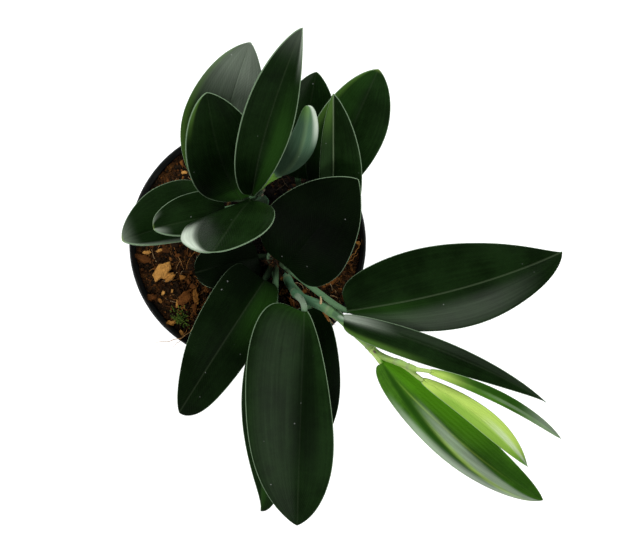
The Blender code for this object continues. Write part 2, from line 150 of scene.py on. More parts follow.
# Each stem: the points that it passes through, then its radius at even steps from its foot to its end
STEMS = {
    "stem_upright": {
        "points": [(9, 21, 60), (8, 21, 95), (6.5, 21, 120), (6, 22, 143), (8, 25.5, 164)],
        "radius": (3.2, 2.6),
    },
    "stem_back": {
        "points": [(36, -4, 60), (37, -2, 92), (38, 1, 115), (38.5, 4, 137)],
        "radius": (3.0, 2.4),
    },
    "stem_low": {
        "points": [(11, -5, 60), (12, -6, 88), (13, -7, 103), (15, -8, 116)],
        "radius": (3.2, 2.8),
    },
    "stem_trailing": {
        "points": [(18, -11, 62), (18.5, -14, 93), (22.5, -22.5, 110), (27, -27, 121), (36.5, -31, 125),
                   (45.5, -36.2, 127.5), (56, -46.5, 130.5), (65.5, -55, 132), (77, -59.5, 136),
                   (84, -62.5, 138)],
        "radius": (2.3, 2.3, 2.0, 2.5, 1.7, 1.4),
    },
}

# Each leaf: its stem, how far along that stem its stalk leaves (0 to 1), and where its blade starts and ends.
# "width" is the half width left and right of the midrib, seen from the base, and "belly" moves the widest
# place of each half: under 1 towards the base, over 1 towards the tip. "base_ends" and "tip_ends" say how
# blunt each half is at its ends, from 0.8 (round) to 1.8 (drawn out), and "lobe" how far it reaches back past
# the base. "bow" arches the midrib up and "sway" bends it to the right. "roll" turns the blade about its
# midrib, right half up, "fold" lifts both halves, and "curl" bends each half on its way to the margin.
# Angles are degrees. "stalk" is the stalk's radius, and "arrive" the share of the stalk that already follows
# the midrib. "tone" makes the upper face lighter or darker: each leaf's own green, with painted light and
# shade for how much light reaches that leaf. "rib" is how pale the midrib shows, "yellow" how yellow the tip
# is, "rims" how wide the pale line at each margin is, "wave" how far the margin undulates and "pleat" how
# deep its pleats are.
LEAVES = {
    "leaf_left": {
        "stem": "stem_upright", "at": 0.43, "base": (-16.5, 15.5, 113), "tip": (-57, 0, 157),
        "width": (11.5, 20), "belly": (0.85, 0.9), "tip_ends": (1.2, 1.2), "bow": 6, "roll": -10,
        "fold": 20, "yellow": 0.6, "rims": (0.9, 0.28),
    },
    "leaf_back_left": {
        "stem": "stem_upright", "at": 0.5, "base": (-12.5, 24.5, 131), "tip": (5.5, 88, 197),
        "width": (20, 18), "belly": (1.0, 1.0), "base_ends": (1.0, 1.0), "sway": -3,
    },
    "leaf_small_left": {
        "stem": "stem_upright", "at": 0.58, "base": (-9.5, 13.5, 137), "tip": (-41.5, 5.5, 164),
        "width": (8, 13), "tip_ends": (1.1, 0.8), "bow": 5, "yellow": 0.4, "rims": (0.8, 0.3),
    },
    "leaf_front_left": {
        "stem": "stem_upright", "at": 0.66, "base": (-1.5, 21, 146), "tip": (-13.5, 64.5, 205),
        "width": (16, 21), "belly": (0.9, 0.95), "base_ends": (1.0, 0.9), "tip_ends": (1.3, 1.3),
        "lobe": (0.0, 0.03), "bow": 6, "sway": -3, "tone": 0.85, "rims": (0.6, 0.38), "rib": 0.02,
    },
    "leaf_steep": {
        "stem": "stem_upright", "at": 0.86, "base": (4, 18.5, 163), "tip": (-9, -6.5, 225),
        "width": (17.5, 28), "belly": (1.15, 0.85), "base_ends": (1.2, 0.9), "tip_ends": (1.2, 1.2),
        "lobe": (0.01, 0.01), "bow": 4, "roll": -36, "fold": -3, "rims": (0.4, 0.5),
    },
    "leaf_tall": {
        "stem": "stem_upright", "at": 0.95, "base": (5.5, 21, 178), "tip": (29.3, 88.8, 233),
        "width": (12, 11.5), "belly": (0.95, 1.0), "base_ends": (0.9, 2.0), "tip_ends": (1.4, 2.0),
        "bow": 6, "sway": -2, "fold": 20, "rib": 0.05, "tone": 0.85, "rims": (0.6, 0.38),
    },
    "leaf_furled": {
        "stem": "stem_upright", "at": 0.98, "base": (17.5, 30, 177), "tip": (31, 58, 211),
        "width": (11.3, 11), "belly": (0.9, 0.75), "base_ends": (0.8, 0.8), "tip_ends": (0.9, 1.2),
        "bow": 4, "sway": 5, "roll": 170, "fold": 0, "curl": (105, 105), "wave": 0.0,
    },
    "leaf_dark_back": {
        "stem": "stem_back", "at": 0.62, "base": (25.5, 33.5, 113), "tip": (35, 80, 157), "width": (15, 15),
        "belly": (1.0, 1.0), "bow": 6, "tone": 1.4,
    },
    "leaf_broad_back": {
        "stem": "stem_back", "at": 0.75, "base": (38.5, 24, 137), "tip": (63.5, 78, 181), "width": (17, 16),
        "belly": (1.0, 1.15), "base_ends": (1.1, 1.1), "tip_ends": (1.4, 1.4), "bow": 6, "tone": 1.5,
        "yellow": 0.6, "rims": (0.45, 0.3),
    },
    "leaf_folded": {
        "stem": "stem_back", "at": 0.95, "base": (43, 9.5, 147), "tip": (42.6, 65, 197), "width": (7, 14),
        "base_ends": (1.0, 1.0), "bow": 6, "fold": 25, "tone": 1.3, "rib": 0.8, "rims": (0.06, 0.3),
    },
    "leaf_under": {
        "stem": "stem_low", "at": 0.8, "base": (5, -7, 108), "tip": (-25.8, -15, 114), "width": (13, 13),
        "tip_ends": (0.9, 0.9), "bow": 3, "tone": 0.25,
    },
    "leaf_bottom_left": {
        "stem": "stem_low", "at": 0.86, "base": (14, -34.5, 117), "tip": (5.5, -140.2, 73),
        "width": (14, 13.5), "belly": (1.0, 0.8), "base_ends": (1.0, 1.0), "tip_ends": (1.0, 3.5),
        "tone": 1.2,
    },
    "leaf_lower_left": {
        "stem": "stem_low", "at": 0.92, "base": (9, -18.5, 119), "tip": (-36, -87, 89), "width": (15, 19),
        "belly": (0.9, 0.6), "base_ends": (0.65, 0.65), "tip_ends": (0.9, 1.6), "rib": 0.05, "tone": 0.55,
    },
    "leaf_centre": {
        "stem": "stem_low", "at": 0.98, "base": (20.5, -11.5, 127), "tip": (54, 27, 189), "width": (24, 22),
        "belly": (0.85, 0.8), "tip_ends": (1.4, 1.6), "bow": 4, "tone": 0.25, "rib": 0.0,
        "rims": (0.22, 0.22),
    },
    "leaf_bottom_right": {
        "stem": "stem_trailing", "at": 0.33, "base": (31, -33, 115), "tip": (35.5, -106, 81),
        "width": (14, 14), "belly": (0.85, 0.9), "tip_ends": (1.7, 1.5), "bow": 6, "tone": 0.5,
    },
    "leaf_bottom": {
        "stem": "stem_trailing", "at": 0.44, "base": (29, -34, 133), "tip": (25, -144, 97),
        "width": (17, 28), "belly": (1.2, 0.78), "base_ends": (1.1, 0.9), "tip_ends": (1.7, 1.5),
        "lobe": (0.015, 0.065), "bow": 10, "tone": 1.1, "rib": 0.04, "wave": 0.8, "rims": (0.38, 0.45),
    },
    "leaf_right": {
        "stem": "stem_low", "at": 0.84, "base": (50, -33.5, 131), "tip": (157, -4.5, 119),
        "width": (24, 19), "belly": (0.8, 1.0), "base_ends": (0.9, 1.2), "tip_ends": (2.3, 1.3),
        "lobe": (0.03, -0.03), "sway": 4, "roll": -6, "fold": 10, "arrive": 0.08, "rib": 0.12, "tone": 0.8,
    },
    "leaf_narrow_right": {
        "stem": "stem_trailing", "at": 0.61, "base": (48.5, -38, 135), "tip": (149.4, -79.6, 117),
        "width": (5, 9.5), "belly": (0.8, 0.7), "tip_ends": (1.6, 2.4), "lobe": (0.03, 0.0), "sway": -4.3,
        "tone": 0.9,
    },
    "leaf_bright": {
        "stem": "stem_trailing", "at": 0.81, "base": (67, -59, 132), "tip": (149.8, -130.2, 103),
        "width": (10, 13.5), "base_ends": (1.0, 1.0), "lobe": (0.03, 0.02), "sway": 3, "pleat": 0.12,
    },
    "leaf_new": {
        "stem": "stem_trailing", "at": 0.93, "base": (87, -67.5, 136), "tip": (139.3, -110.8, 125),
        "width": (6, 5), "belly": (1.1, 1.0), "base_ends": (1.0, 1.0), "tip_ends": (2.4, 1.8), "bow": 6,
        "sway": -3.5, "stalk": 1.1, "pleat": 0.08,
    },
    "leaf_thin_new": {
        "stem": "stem_trailing", "at": 0.98, "base": (90.5, -63, 140), "tip": (155, -96.5, 129),
        "width": (3.2, 3), "base_ends": (1.0, 1.0), "tip_ends": (1.4, 1.4), "bow": 6, "sway": -4,
        "stalk": 1.0,
    },
}
# What a leaf has where its own values say nothing else
LEAF_DEFAULTS = {
    "width": (20, 20), "belly": (0.9, 0.9), "base_ends": (0.9, 0.9), "tip_ends": (1.5, 1.5),
    "lobe": (0.03, 0.03), "bow": 8, "sway": 0, "roll": 0, "fold": 12, "curl": (-12, -12),
    "stalk": PETIOLE_RADIUS, "arrive": PETIOLE_ARRIVE, "tone": 1.0, "rib": 0.03, "yellow": 0.0,
    "rims": (0.28, 0.28), "wave": 0.4, "pleat": 0.0,
}
OUTLINE = ("width", "belly", "base_ends", "tip_ends")
YOUNG_LEAVES = ("leaf_bright", "leaf_new", "leaf_thin_new")

# Coloured bands that run along a blade: the tint, where its middle lies across the blade (-1 left margin to
# 1 right margin) at the base and at the tip, its half width, where it starts and ends along, and its
# strength.
# The pale grey tint is painted sheen and reflections of the bright floor, "dark" is painted shade, "lit" is
# painted light, on the newest leaves with their own pale yellow green, and "fresh" is the green of young
# tissue.
BANDS = {
    "leaf_left": [("painted_sheen", 0.0, 0.0, 2.0, 0.75, 1.3, 0.2), ("painted_sheen", -1.0, -0.9, 0.12, 0.4, 1.3, 0.2)],
    "leaf_back_left": [
        ("painted_sheen", 0.1, 0.1, 1.2, 0.55, 1.3, 0.24), ("painted_sheen", 0.55, 0.25, 0.35, 0.3, 1.3, 0.12),
        ("fresh", -1.0, -1.0, 0.15, 0.1, 1.0, 0.25),
    ],
    "leaf_small_left": [
        ("painted_sheen", -1.0, -0.4, 0.4, 0.7, 1.3, 0.3), ("painted_sheen", 1.0, 0.8, 0.2, 0.75, 1.3, 0.2),
    ],
    "leaf_front_left": [
        ("fresh", -1.0, -0.9, 0.15, 0.6, 1.3, 0.3), ("lit", 0.4, 0.6, 1.0, -0.2, 0.5, 0.5),
    ],
    "leaf_steep": [
        ("painted_sheen", 0.94, 0.9, 0.19, 0.38, 1.0, 0.9), ("lit", -0.9, -0.9, 0.5, -0.2, 0.5, 0.3),
        ("dark", 0.0, 0.0, 3.0, -1.3, 0.0, 0.8),
    ],
    "leaf_tall": [
        ("lit", 0.7, 0.6, 0.36, -0.2, 0.7, 0.45), ("painted_sheen", 0.0, 0.0, 2.0, 0.7, 1.3, 0.09),
        ("painted_sheen", 0.95, 0.8, 0.15, 0.65, 1.3, 0.35), ("dark", 0.0, 0.0, 3.0, -1.3, 0.0, 0.8),
    ],
    "leaf_furled": [
        ("painted_sheen", -0.75, -0.6, 0.27, 0.5, 1.2, 0.9), ("painted_sheen", 1.0, 1.0, 0.12, 0.1, 1.3, 0.35),
        ("fresh", 0.4, 0.4, 0.7, 0.7, 1.4, 0.5), ("dark", 0.3, 0.3, 2.0, 0.0, 0.65, 0.7),
        ("fresh", 0.0, 0.0, 3.0, -1.3, 0.1, 1.0),
    ],
    "leaf_dark_back": [
        ("painted_sheen", -0.9, -0.7, 0.4, 0.6, 1.3, 0.03), ("dark", 0.0, 0.0, 3.0, -1.3, 0.1, 0.85),
    ],
    "leaf_broad_back": [
        ("fresh", -1.0, -0.9, 0.12, 0.3, 1.3, 0.25), ("lit", -0.5, -0.5, 0.35, 0.1, 1.2, 0.25),
        ("dark", -0.8, -0.8, 0.7, -0.3, 0.5, 0.95),
    ],
    "leaf_folded": [
        ("lit", -0.6, -0.6, 0.5, 0.1, 1.3, 0.2), ("painted_sheen", -0.6, -0.6, 0.5, 0.1, 1.3, 0.012),
        ("fresh", -0.6, -0.6, 0.5, 0.6, 1.4, 0.3),
    ],
    "leaf_under": [("dark", 0.0, 0.0, 3.0, -1.3, 0.85, 0.95)],
    "leaf_bottom_left": [("lit", -0.2, 0.0, 0.3, 0.0, 1.0, 0.5)],
    "leaf_lower_left": [
        ("lit", -0.6, -0.9, 0.6, -0.5, 0.5, 0.6), ("dark", 0.7, 0.7, 0.6, -0.4, 0.4, 0.9),
        ("dark", 0.0, 0.0, 3.0, -1.3, 0.25, 0.85),
    ],
    "leaf_bottom": [
        ("painted_sheen", 0.4, 0.6, 0.4, 0.05, 1.0, 0.02), ("dark", -0.3, -0.15, 0.35, 0.08, 0.75, 0.7),
        ("lit", 0.0, 0.0, 2.0, -0.3, 0.22, 0.6), ("dark", 0.8, 0.8, 0.45, 0.22, 0.46, 0.6),
        ("painted_sheen", 0.0, 0.0, 3.0, -0.9, 0.05, 0.3),
    ],
    "leaf_right": [("painted_sheen", 0.75, 0.5, 0.35, 0.02, 0.8, 0.055), ("lit", 0.4, 0.2, 0.4, -0.2, 0.5, 0.4)],
    "leaf_narrow_right": [
        ("painted_sheen", -0.7, -0.4, 0.4, 0.1, 1.3, 0.02), ("painted_sheen", 0.0, 0.0, 2.0, 0.8, 1.3, 0.08),
        ("fresh", 1.0, 1.0, 0.3, -0.2, 0.5, 0.3), ("painted_sheen", -0.5, -0.4, 0.55, -0.4, 0.36, 0.4),
    ],
    "leaf_bright": [
        ("fresh", -0.6, -1.0, 0.7, -0.3, 0.65, 1.0), ("dark", -0.03, 1.5, 0.14, -0.05, 0.85, 0.9),
        ("dark", -0.3, -0.3, 0.6, 0.45, 1.1, 0.5), ("painted_sheen", -0.23, 0.9, 0.18, 0.27, 1.2, 0.36),
        ("painted_sheen", 1.0, 1.0, 0.22, 0.2, 1.0, 0.45), ("lit", 0.02, 1.1, 0.08, 0.3, 0.95, 0.35),
        ("lit", 0.13, 0.13, 0.035, 0.15, 0.75, 0.35),
    ],
    "leaf_new": [
        ("lit", 0.0, 0.0, 2.0, -1.3, 0.9, 0.85), ("fresh", 0.65, 0.75, 0.65, 0.15, 1.3, 0.6),
        ("painted_sheen", -0.3, -0.1, 0.3, 0.45, 1.1, 0.5), ("painted_sheen", 0.0, 0.0, 2.0, 0.75, 1.4, 0.2),
    ],
    "leaf_thin_new": [
        ("painted_sheen", 0.25, 0.3, 0.25, 0.35, 1.2, 0.15), ("painted_sheen", 0.0, 0.0, 2.0, 0.55, 1.4, 0.25),
        ("lit", 0.3, 0.6, 1.2, -1.3, 0.4, 0.7), ("dark", -0.6, -0.5, 0.6, 0.2, 1.3, 0.8),
    ],
}
TINTS = ("painted_sheen", "dark", "fresh", "lit")
BAND_POWER = 4
BAND_FADE_IN = 0.2
BAND_FADE_OUT = 0.25


# Plain maths

def unit(vectors):
    """The same vectors at length 1."""
    return vectors / np.linalg.norm(vectors, axis=-1, keepdims=True)


def ease(values, low, high):
    """0 below low, 1 above high, and a smooth S between. low may be the larger."""
    share = np.clip((values - low) / (high - low), 0, 1)
    return share * share * (3 - 2 * share)


def hump(values, middle, width, power=2):
    """A bell that is 1 at the middle and falls off over the width. A higher power makes its top flatter."""
    return np.exp(-np.abs((values - middle) / width) ** power)


def waves(x, y, length, seed):
    """A sum of plane waves in seeded directions, each about the given length, scaled to about -1 to 1."""
    draws = np.random.default_rng(seed)
    heading = draws.uniform(0, 2 * np.pi, WAVES_EACH)
    number = 2 * np.pi / (length * draws.uniform(*WAVE_SPREAD, WAVES_EACH))
    phase = draws.uniform(0, 2 * np.pi, WAVES_EACH)
    at = x[..., None] * np.cos(heading) + y[..., None] * np.sin(heading)
    return np.sin(at * number + phase).sum(-1) / np.sqrt(WAVES_EACH)


def turned(radius, turn, height):
    """Points at a distance from the Z axis, at an angle about it and at a height."""
    return np.stack(np.broadcast_arrays(radius * np.cos(turn), radius * np.sin(turn), height), -1)


def full_turn(steps):
    """Angles that divide a full turn evenly."""
    return 2 * np.pi * np.arange(steps) / steps


def smooth_path(points, steps):
    """A curve through the points: each span is a cubic whose ends follow the points on either side."""
    knots = np.asarray(points, float)
    slopes = np.gradient(knots, axis=0)
    t = np.linspace(0, 1, steps, endpoint=False)[:, None]
    spans = []
    for start, end, leave, arrive in zip(knots, knots[1:], slopes, slopes[1:]):
        spans.append((2 * t ** 3 - 3 * t ** 2 + 1) * start + (t ** 3 - 2 * t ** 2 + t) * leave
                     + (3 * t ** 2 - 2 * t ** 3) * end + (t ** 3 - t ** 2) * arrive)
    return np.concatenate(spans + [knots[-1:]])


def along(path):
    """How far along its path each point is, from 0 to 1, and the path's length."""
    steps = np.linalg.norm(np.diff(path, axis=0), axis=1)
    far = np.concatenate([[0], np.cumsum(steps)])
    return far / far[-1], far[-1]


# Meshes

def grid_faces(index):
    """Two triangles for each cell of a grid of point numbers, without the cells that have no area."""
    a, b = index[:-1, :-1], index[:-1, 1:]
    c, d = index[1:, 1:], index[1:, :-1]
    faces = np.concatenate([np.stack([a, b, c], -1).reshape(-1, 3), np.stack([a, c, d], -1).reshape(-1, 3)])
    first, second, third = faces.T
    return faces[(first != second) & (second != third) & (third != first)]


def ring_index(rows, sides):
    """Point numbers of rings in rows, with each ring's first point repeated at its end."""
    index = np.arange(rows * sides).reshape(rows, sides)
    return np.concatenate([index, index[:, :1]], axis=1)


def tube_faces(rows, sides):
    """Triangles of a tube of rings, with a flat fan over each end."""
    turn = np.arange(1, sides - 1)
    start = np.stack([np.zeros_like(turn), turn + 1, turn], -1)
    end = (rows - 1) * sides + np.stack([np.zeros_like(turn), turn, turn + 1], -1)
    return np.concatenate([grid_faces(ring_index(rows, sides)), start, end])


def tube_points(path, radii, sides, reference=(0.5, 0.87, 0)):
    """Rings square to a path, or to many paths at once: centre + radius * (cos * side + sin * top)."""
    heading = unit(np.gradient(path, axis=-2))
    side = unit(np.cross(heading, reference))
    top = np.cross(heading, side)
    turn = full_turn(sides)
    spoke = side[..., None, :] * np.cos(turn)[:, None] + top[..., None, :] * np.sin(turn)[:, None]
    return path[..., None, :] + spoke * np.asarray(radii)[..., None, None]


def repeat_faces(faces, points_each, count):
    """The same faces for each of several copies whose points follow each other."""
    starts = np.arange(count)[:, None, None] * points_each
    return (faces[None] + starts).reshape(-1, 3)


def many_tubes(paths, radii, sides, *reference):
    """Points and triangles of one tube along each path."""
    count, rows = paths.shape[:2]
    faces = repeat_faces(tube_faces(rows, sides), rows * sides, count)
    return tube_points(paths, radii, sides, *reference), faces


def new_mesh(name, points, faces, layers=None, smooth=True):
    """A mesh from points in millimetres and triangles, with its layers as attributes of its points."""
    mesh = bpy.data.meshes.new(name)
    mesh.from_pydata((points.reshape(-1, 3) * MM).tolist(), [], faces.tolist())
    for layer, values in (layers or {}).items():
        values = np.asarray(values, np.float32)
        vector = values.shape[-1] == 3
        made = mesh.attributes.new(layer, "FLOAT_VECTOR" if vector else "FLOAT", "POINT")
        made.data.foreach_set("vector" if vector else "value", values.ravel())
    if smooth:
        mesh.shade_smooth()
    return mesh


def turned_mesh(name, rings, first, last):
    """A closed mesh of rings about the Z axis, with a pole on the axis at each end, at two heights."""
    index = ring_index(*rings.shape[:2])
    poles = [np.full_like(index[:1], rings[..., 0].size + end) for end in (0, 1)]
    faces = grid_faces(np.concatenate([poles[0], index, poles[1]]))
    return new_mesh(name, np.concatenate([rings.reshape(-1, 3), [(0, 0, first), (0, 0, last)]]), faces)


def show(name, data):
    """A new object in the scene, at the origin."""
    shown = bpy.data.objects.new(name, data)
    bpy.context.scene.collection.objects.link(shown)
    return shown


def new_piece(mesh, finish, slot, *nodes):
    """An object that shows a mesh, rides on the part and stands for the nodes that it replaces."""
    piece = show(mesh.name, mesh)
    mesh.materials.append(finish)
    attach(piece, BODY)
    if nodes:
        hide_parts(*nodes)
    return piece


def shaded_piece(name, parts, finish, slot, smooth=True):
    """A piece of several parts, whose points carry a shade from 0, the darkest, to 1, the palest.

    Each part is its points, its triangles and a list of shades, one for each of its equal lumps or tubes.
    """
    points = [part[0].reshape(-1, 3) for part in parts]
    starts = np.cumsum([0] + [len(these) for these in points])
    faces = [part[1] + start for part, start in zip(parts, starts)]
    shades = [np.repeat(part[2], len(these) // len(part[2])) for part, these in zip(parts, points)]
    layers = {"shade": np.concatenate(shades)[:, None]}
    new_piece(new_mesh(name, np.concatenate(points), np.concatenate(faces), layers, smooth), finish, slot)


# Shader sums

def sums(operation, swapped=False):
    """An operator of a value with another value or a number: a Math node, in their order or swapped."""
    def operator(value, other=0.0):
        """The sum's result, as a value."""
        first, second = (other, value) if swapped else (value, other)
        return value.finish.node("ShaderNodeMath", {"operation": operation}, {0: first, 1: second})[0]
    return operator


class Value:
    """One output of a shader node, which takes part in sums written as Python expressions."""

    def __init__(self, finish, socket):
        self.finish = finish
        self.socket = socket

    __add__ = sums("ADD")
    __radd__ = sums("ADD", swapped=True)
    __sub__ = sums("SUBTRACT")
    __rsub__ = sums("SUBTRACT", swapped=True)
    __mul__ = sums("MULTIPLY")
    __rmul__ = sums("MULTIPLY", swapped=True)
    __truediv__ = sums("DIVIDE")
    __mod__ = sums("FLOORED_MODULO")
    __abs__ = sums("ABSOLUTE")


class Outputs:
    """The outputs of a node, by name or by number."""

    def __init__(self, finish, node):
        self.finish = finish
        self.sockets = node.outputs

    def __getitem__(self, key):
        return Value(self.finish, self.sockets[key])


class Finish:
    """A material under construction, with short forms for the nodes that it is made of."""

    def __init__(self, name):
        self.material = bpy.data.materials.new(name)
        self.material.use_nodes = True
        self.tree = self.material.node_tree
        self.shader = self.tree.nodes["Principled BSDF"]

    def node(self, kind, settings, inputs):
        """A node of a kind: its settings first, then the numbers, colours or links of its inputs."""
        made = self.tree.nodes.new(kind)
        for key, value in settings.items():
            if key == "stops":
                set_stops(made.color_ramp, value)
            else:
                setattr(made, key, value)
        for key, value in inputs.items():
            self.feed(made.inputs[key], value)
        return Outputs(self, made)

    def feed(self, socket, value):
        """Link a value to a socket, or set a number or a colour on it."""
        if isinstance(value, Value):
            self.tree.links.new(value.socket, socket)
        elif socket.type == "RGBA":
            socket.default_value = (*value, 1.0)
        else:
            socket.default_value = value

    def object_place(self):
        """The place of a point in the part's own frame, in metres."""
        return self.node("ShaderNodeTexCoord", {}, {})["Object"]

    def layer(self, name):
        """A number that the mesh carries at its points."""
        return self.node("ShaderNodeAttribute", {"attribute_name": name}, {})["Fac"]

    def layer_parts(self, name):
        """The three numbers of a layer that holds vectors."""
        vector = self.node("ShaderNodeAttribute", {"attribute_name": name}, {})["Vector"]
        parts = self.node("ShaderNodeSeparateXYZ", {}, {0: vector})
        return parts[0], parts[1], parts[2]

    def join(self, x, y, z):
        """A vector from three numbers."""
        return self.node("ShaderNodeCombineXYZ", {}, {0: x, 1: y, 2: z})[0]

    def noise(self, place, scale, detail=3.0, rough=0.55):
        """Cloudy noise from 0 to 1."""
        inputs = {"Vector": place, "Scale": scale, "Detail": detail, "Roughness": rough}
        return self.node("ShaderNodeTexNoise", {}, inputs)["Fac"]

    def cells(self, place, scale):
        """Voronoi cells: distance to the nearest centre, and a colour that is random for each cell."""
        return self.node("ShaderNodeTexVoronoi", {}, {"Vector": place, "Scale": scale})

    def step(self, value, low, high):
        """0 below low, 1 above high, and a smooth S between. low may be the larger."""
        inputs = {"Value": value, "From Min": low, "From Max": high}
        return self.node("ShaderNodeMapRange", {"interpolation_type": "SMOOTHSTEP"}, inputs)[0]

    def near(self, place, centre, far, close):
        """1 closer to a centre than close, 0 farther than far, all in metres."""
        away = self.node("ShaderNodeVectorMath", {"operation": "DISTANCE"}, {0: place, 1: centre})["Value"]
        return self.step(away, far, close)

    def mix(self, share, first, second):
        """Colours mixed by a share, 0 for the first and 1 for the second."""
        return self.node("ShaderNodeMix", {"data_type": "RGBA"}, {0: share, 6: first, 7: second})[2]

    def times(self, colour, share):
        """A colour made lighter or darker by a value."""
        return self.node("ShaderNodeVectorMath", {"operation": "SCALE"}, {0: colour, "Scale": share})[0]

    def ramp(self, value, stops):
        """A colour that follows a value through stops."""
        return self.node("ShaderNodeValToRGB", {"stops": stops}, {0: value})[0]

    def bump(self, height, distance):
        """Small relief that feeds the shader's normal. The height is in shares of the distance, in metres."""
        relief = self.node("ShaderNodeBump", {}, {"Height": height, "Distance": distance})[0]
        self.feed(self.shader.inputs["Normal"], relief)

    def close(self, **inputs):
        """Feed the shader's sockets, named with _ for a space, and return the material."""
        for name, value in inputs.items():
            self.feed(self.shader.inputs[name.replace("_", " ")], value)
        return self.material


def set_stops(ramp, stops):
    """The stops of a colour ramp, as pairs of place and colour."""
    while len(ramp.elements) < len(stops):
        ramp.elements.new(1.0)
    for element, (place, colour) in zip(ramp.elements, stops):
        element.position = place
        element.color = (*colour, 1.0)


# Finishes

POT_GLOSS = 0.25
STEM_GLOSS = 0.1
DRY_GLOSS = 0.1
LEAF_GLOSS = 0.013

POT_COLOURS = ((0.005, 0.006, 0.006), (0.010, 0.012, 0.012))
POT_DUST = (0.06, 0.05, 0.04)
SOIL_STOPS = [
    (0.34, (0.007, 0.004, 0.001)), (0.46, (0.026, 0.012, 0.003)),
    (0.56, (0.070, 0.025, 0.005)), (0.68, (0.180, 0.070, 0.013)),
]
BITS_STOPS = [
    (0.0, (0.005, 0.003, 0.001)), (0.35, (0.016, 0.007, 0.002)), (0.55, (0.048, 0.016, 0.003)),
    (0.75, (0.115, 0.040, 0.008)), (0.9, (0.260, 0.110, 0.021)), (1.0, (0.440, 0.220, 0.055)),
]
FIBRE_STOPS = [
    (0.0, (0.020, 0.009, 0.003)), (0.5, (0.120, 0.045, 0.010)),
    (0.85, (0.300, 0.130, 0.032)), (1.0, (0.400, 0.290, 0.160)),
]
SCALE_COLOURS = ((0.060, 0.050, 0.024), (0.150, 0.120, 0.075))
MOSS_COLOURS = ((0.020, 0.050, 0.006), (0.120, 0.190, 0.030))
STEM_COLOURS = ((0.036, 0.100, 0.050), (0.078, 0.170, 0.090))
YOUNG_STEM = (0.240, 0.370, 0.085)
STEM_BLOOM = (0.200, 0.330, 0.240)
NODE_RING = (0.200, 0.230, 0.130)

# Colours of the leaves: the blade's two faces, their markings, their painted light and shade, and the stalk
# Pale grey painted on the leaves as their sheen and reflections of the bright floor
PAINTED_SHEEN = (0.52, 0.60, 0.49)
SPECK = (0.4, 0.42, 0.4)
SPECK_EDGE = (0.16, 0.06)
SPECK_DRAW = (0.955, 0.965)
DARK_UPPER = {
    "deep": (0.0030, 0.0088, 0.0018), "middle": (0.0068, 0.0195, 0.0042), "dark": (0.0018, 0.0040, 0.0014),
    "fresh": (0.150, 0.320, 0.050), "lit": (0.017, 0.060, 0.007), "vein": (0.016, 0.038, 0.010),
    "rib": (0.200, 0.270, 0.150), "margin": (0.170, 0.250, 0.150), "tip": (0.220, 0.330, 0.080),
    "under_deep": (0.052, 0.112, 0.062), "under_pale": (0.105, 0.195, 0.118),
}
YOUNG_UPPER = {
    "deep": (0.022, 0.070, 0.005), "middle": (0.046, 0.135, 0.010), "dark": (0.010, 0.042, 0.003),
    "fresh": (0.062, 0.205, 0.006), "lit": (0.440, 0.610, 0.120), "vein": (0.100, 0.190, 0.040),
    "rib": (0.300, 0.420, 0.160), "margin": (0.240, 0.340, 0.170), "tip": (0.300, 0.450, 0.100),
    "under_deep": (0.110, 0.220, 0.060), "under_pale": (0.190, 0.310, 0.100),
}
DARK_STALK = {"deep": (0.045, 0.110, 0.052), "pale": (0.120, 0.205, 0.105)}
YOUNG_STALK = {"deep": (0.220, 0.360, 0.070), "pale": (0.480, 0.600, 0.220)}

# Painted shade on the mix among the stems, where the leaves shade it: its places, how far it reaches, where
# it is full, and how dark it is
PAINTED_SHADE_PLACES = [(0.026, 0.026, 0.101), (0.012, 0.001, 0.101), (-0.009, 0.018, 0.101)]
PAINTED_SHADE_REACH = (0.030, 0.014)
PAINTED_SHADE_DEPTH = 0.9
# Painted shade where stems and stalks lie deep among the leaves and at the old crown: the place, how far that
# reaches and where it is full, in metres
PAINTED_STEM_SHADE = [
    ((0.0155, -0.0092, 0.1205), 0.011, 0.006),
    ((0.0095, 0.0210, 0.1610), 0.012, 0.006),
    ((0.0065, 0.0215, 0.1300), 0.028, 0.017),
]
PAINTED_STEM_SHADE_COLOUR = (0.010, 0.012, 0.006)
PAINTED_STEM_SHADE_SHARE = 0.82

# Veins of a leaf, in millimetres: how steeply they sweep, how they bend outwards and their spacing
VEIN_SWEEP = 2.1
VEIN_BEND = 0.035
VEIN_WANDER = 1.4
VEIN_SPACING = 2.6
THREAD_SPACING = 0.65


def painted_shade(f, place, colour):
    """The same colour, darker where shade among the stems is painted in."""
    for centre in PAINTED_SHADE_PLACES:
        colour = f.times(colour, 1 - PAINTED_SHADE_DEPTH * f.near(place, centre, *PAINTED_SHADE_REACH))
    return colour


def painted_stem_shade(f, place, colour):
    """The same colour, turned to dark brown green where shade is painted on stems and stalks deep among the
    leaves.
    """
    for centre, far, close in PAINTED_STEM_SHADE:
        colour = f.mix(PAINTED_STEM_SHADE_SHARE * f.near(place, centre, far, close), colour, PAINTED_STEM_SHADE_COLOUR)
    return colour


def pot_finish():
    """Satin black plastic: faint clouds, dry dust in patches and a fine grain."""
    f = Finish("pot_plastic")
    place = f.object_place()
    cloud = f.noise(place, scale=60.0)
    grain = f.noise(place, scale=2600.0, detail=2.0)
    dust = f.step(f.noise(place, scale=180.0, detail=4.0), 0.52, 0.75)
    colour = f.mix(dust * 0.12, f.mix(cloud, *POT_COLOURS), POT_DUST)
    f.bump(grain + cloud, distance=0.00006)
    return f.close(Base_Color=colour, Roughness=0.34 + 0.22 * dust, Specular_IOR_Level=POT_GLOSS)


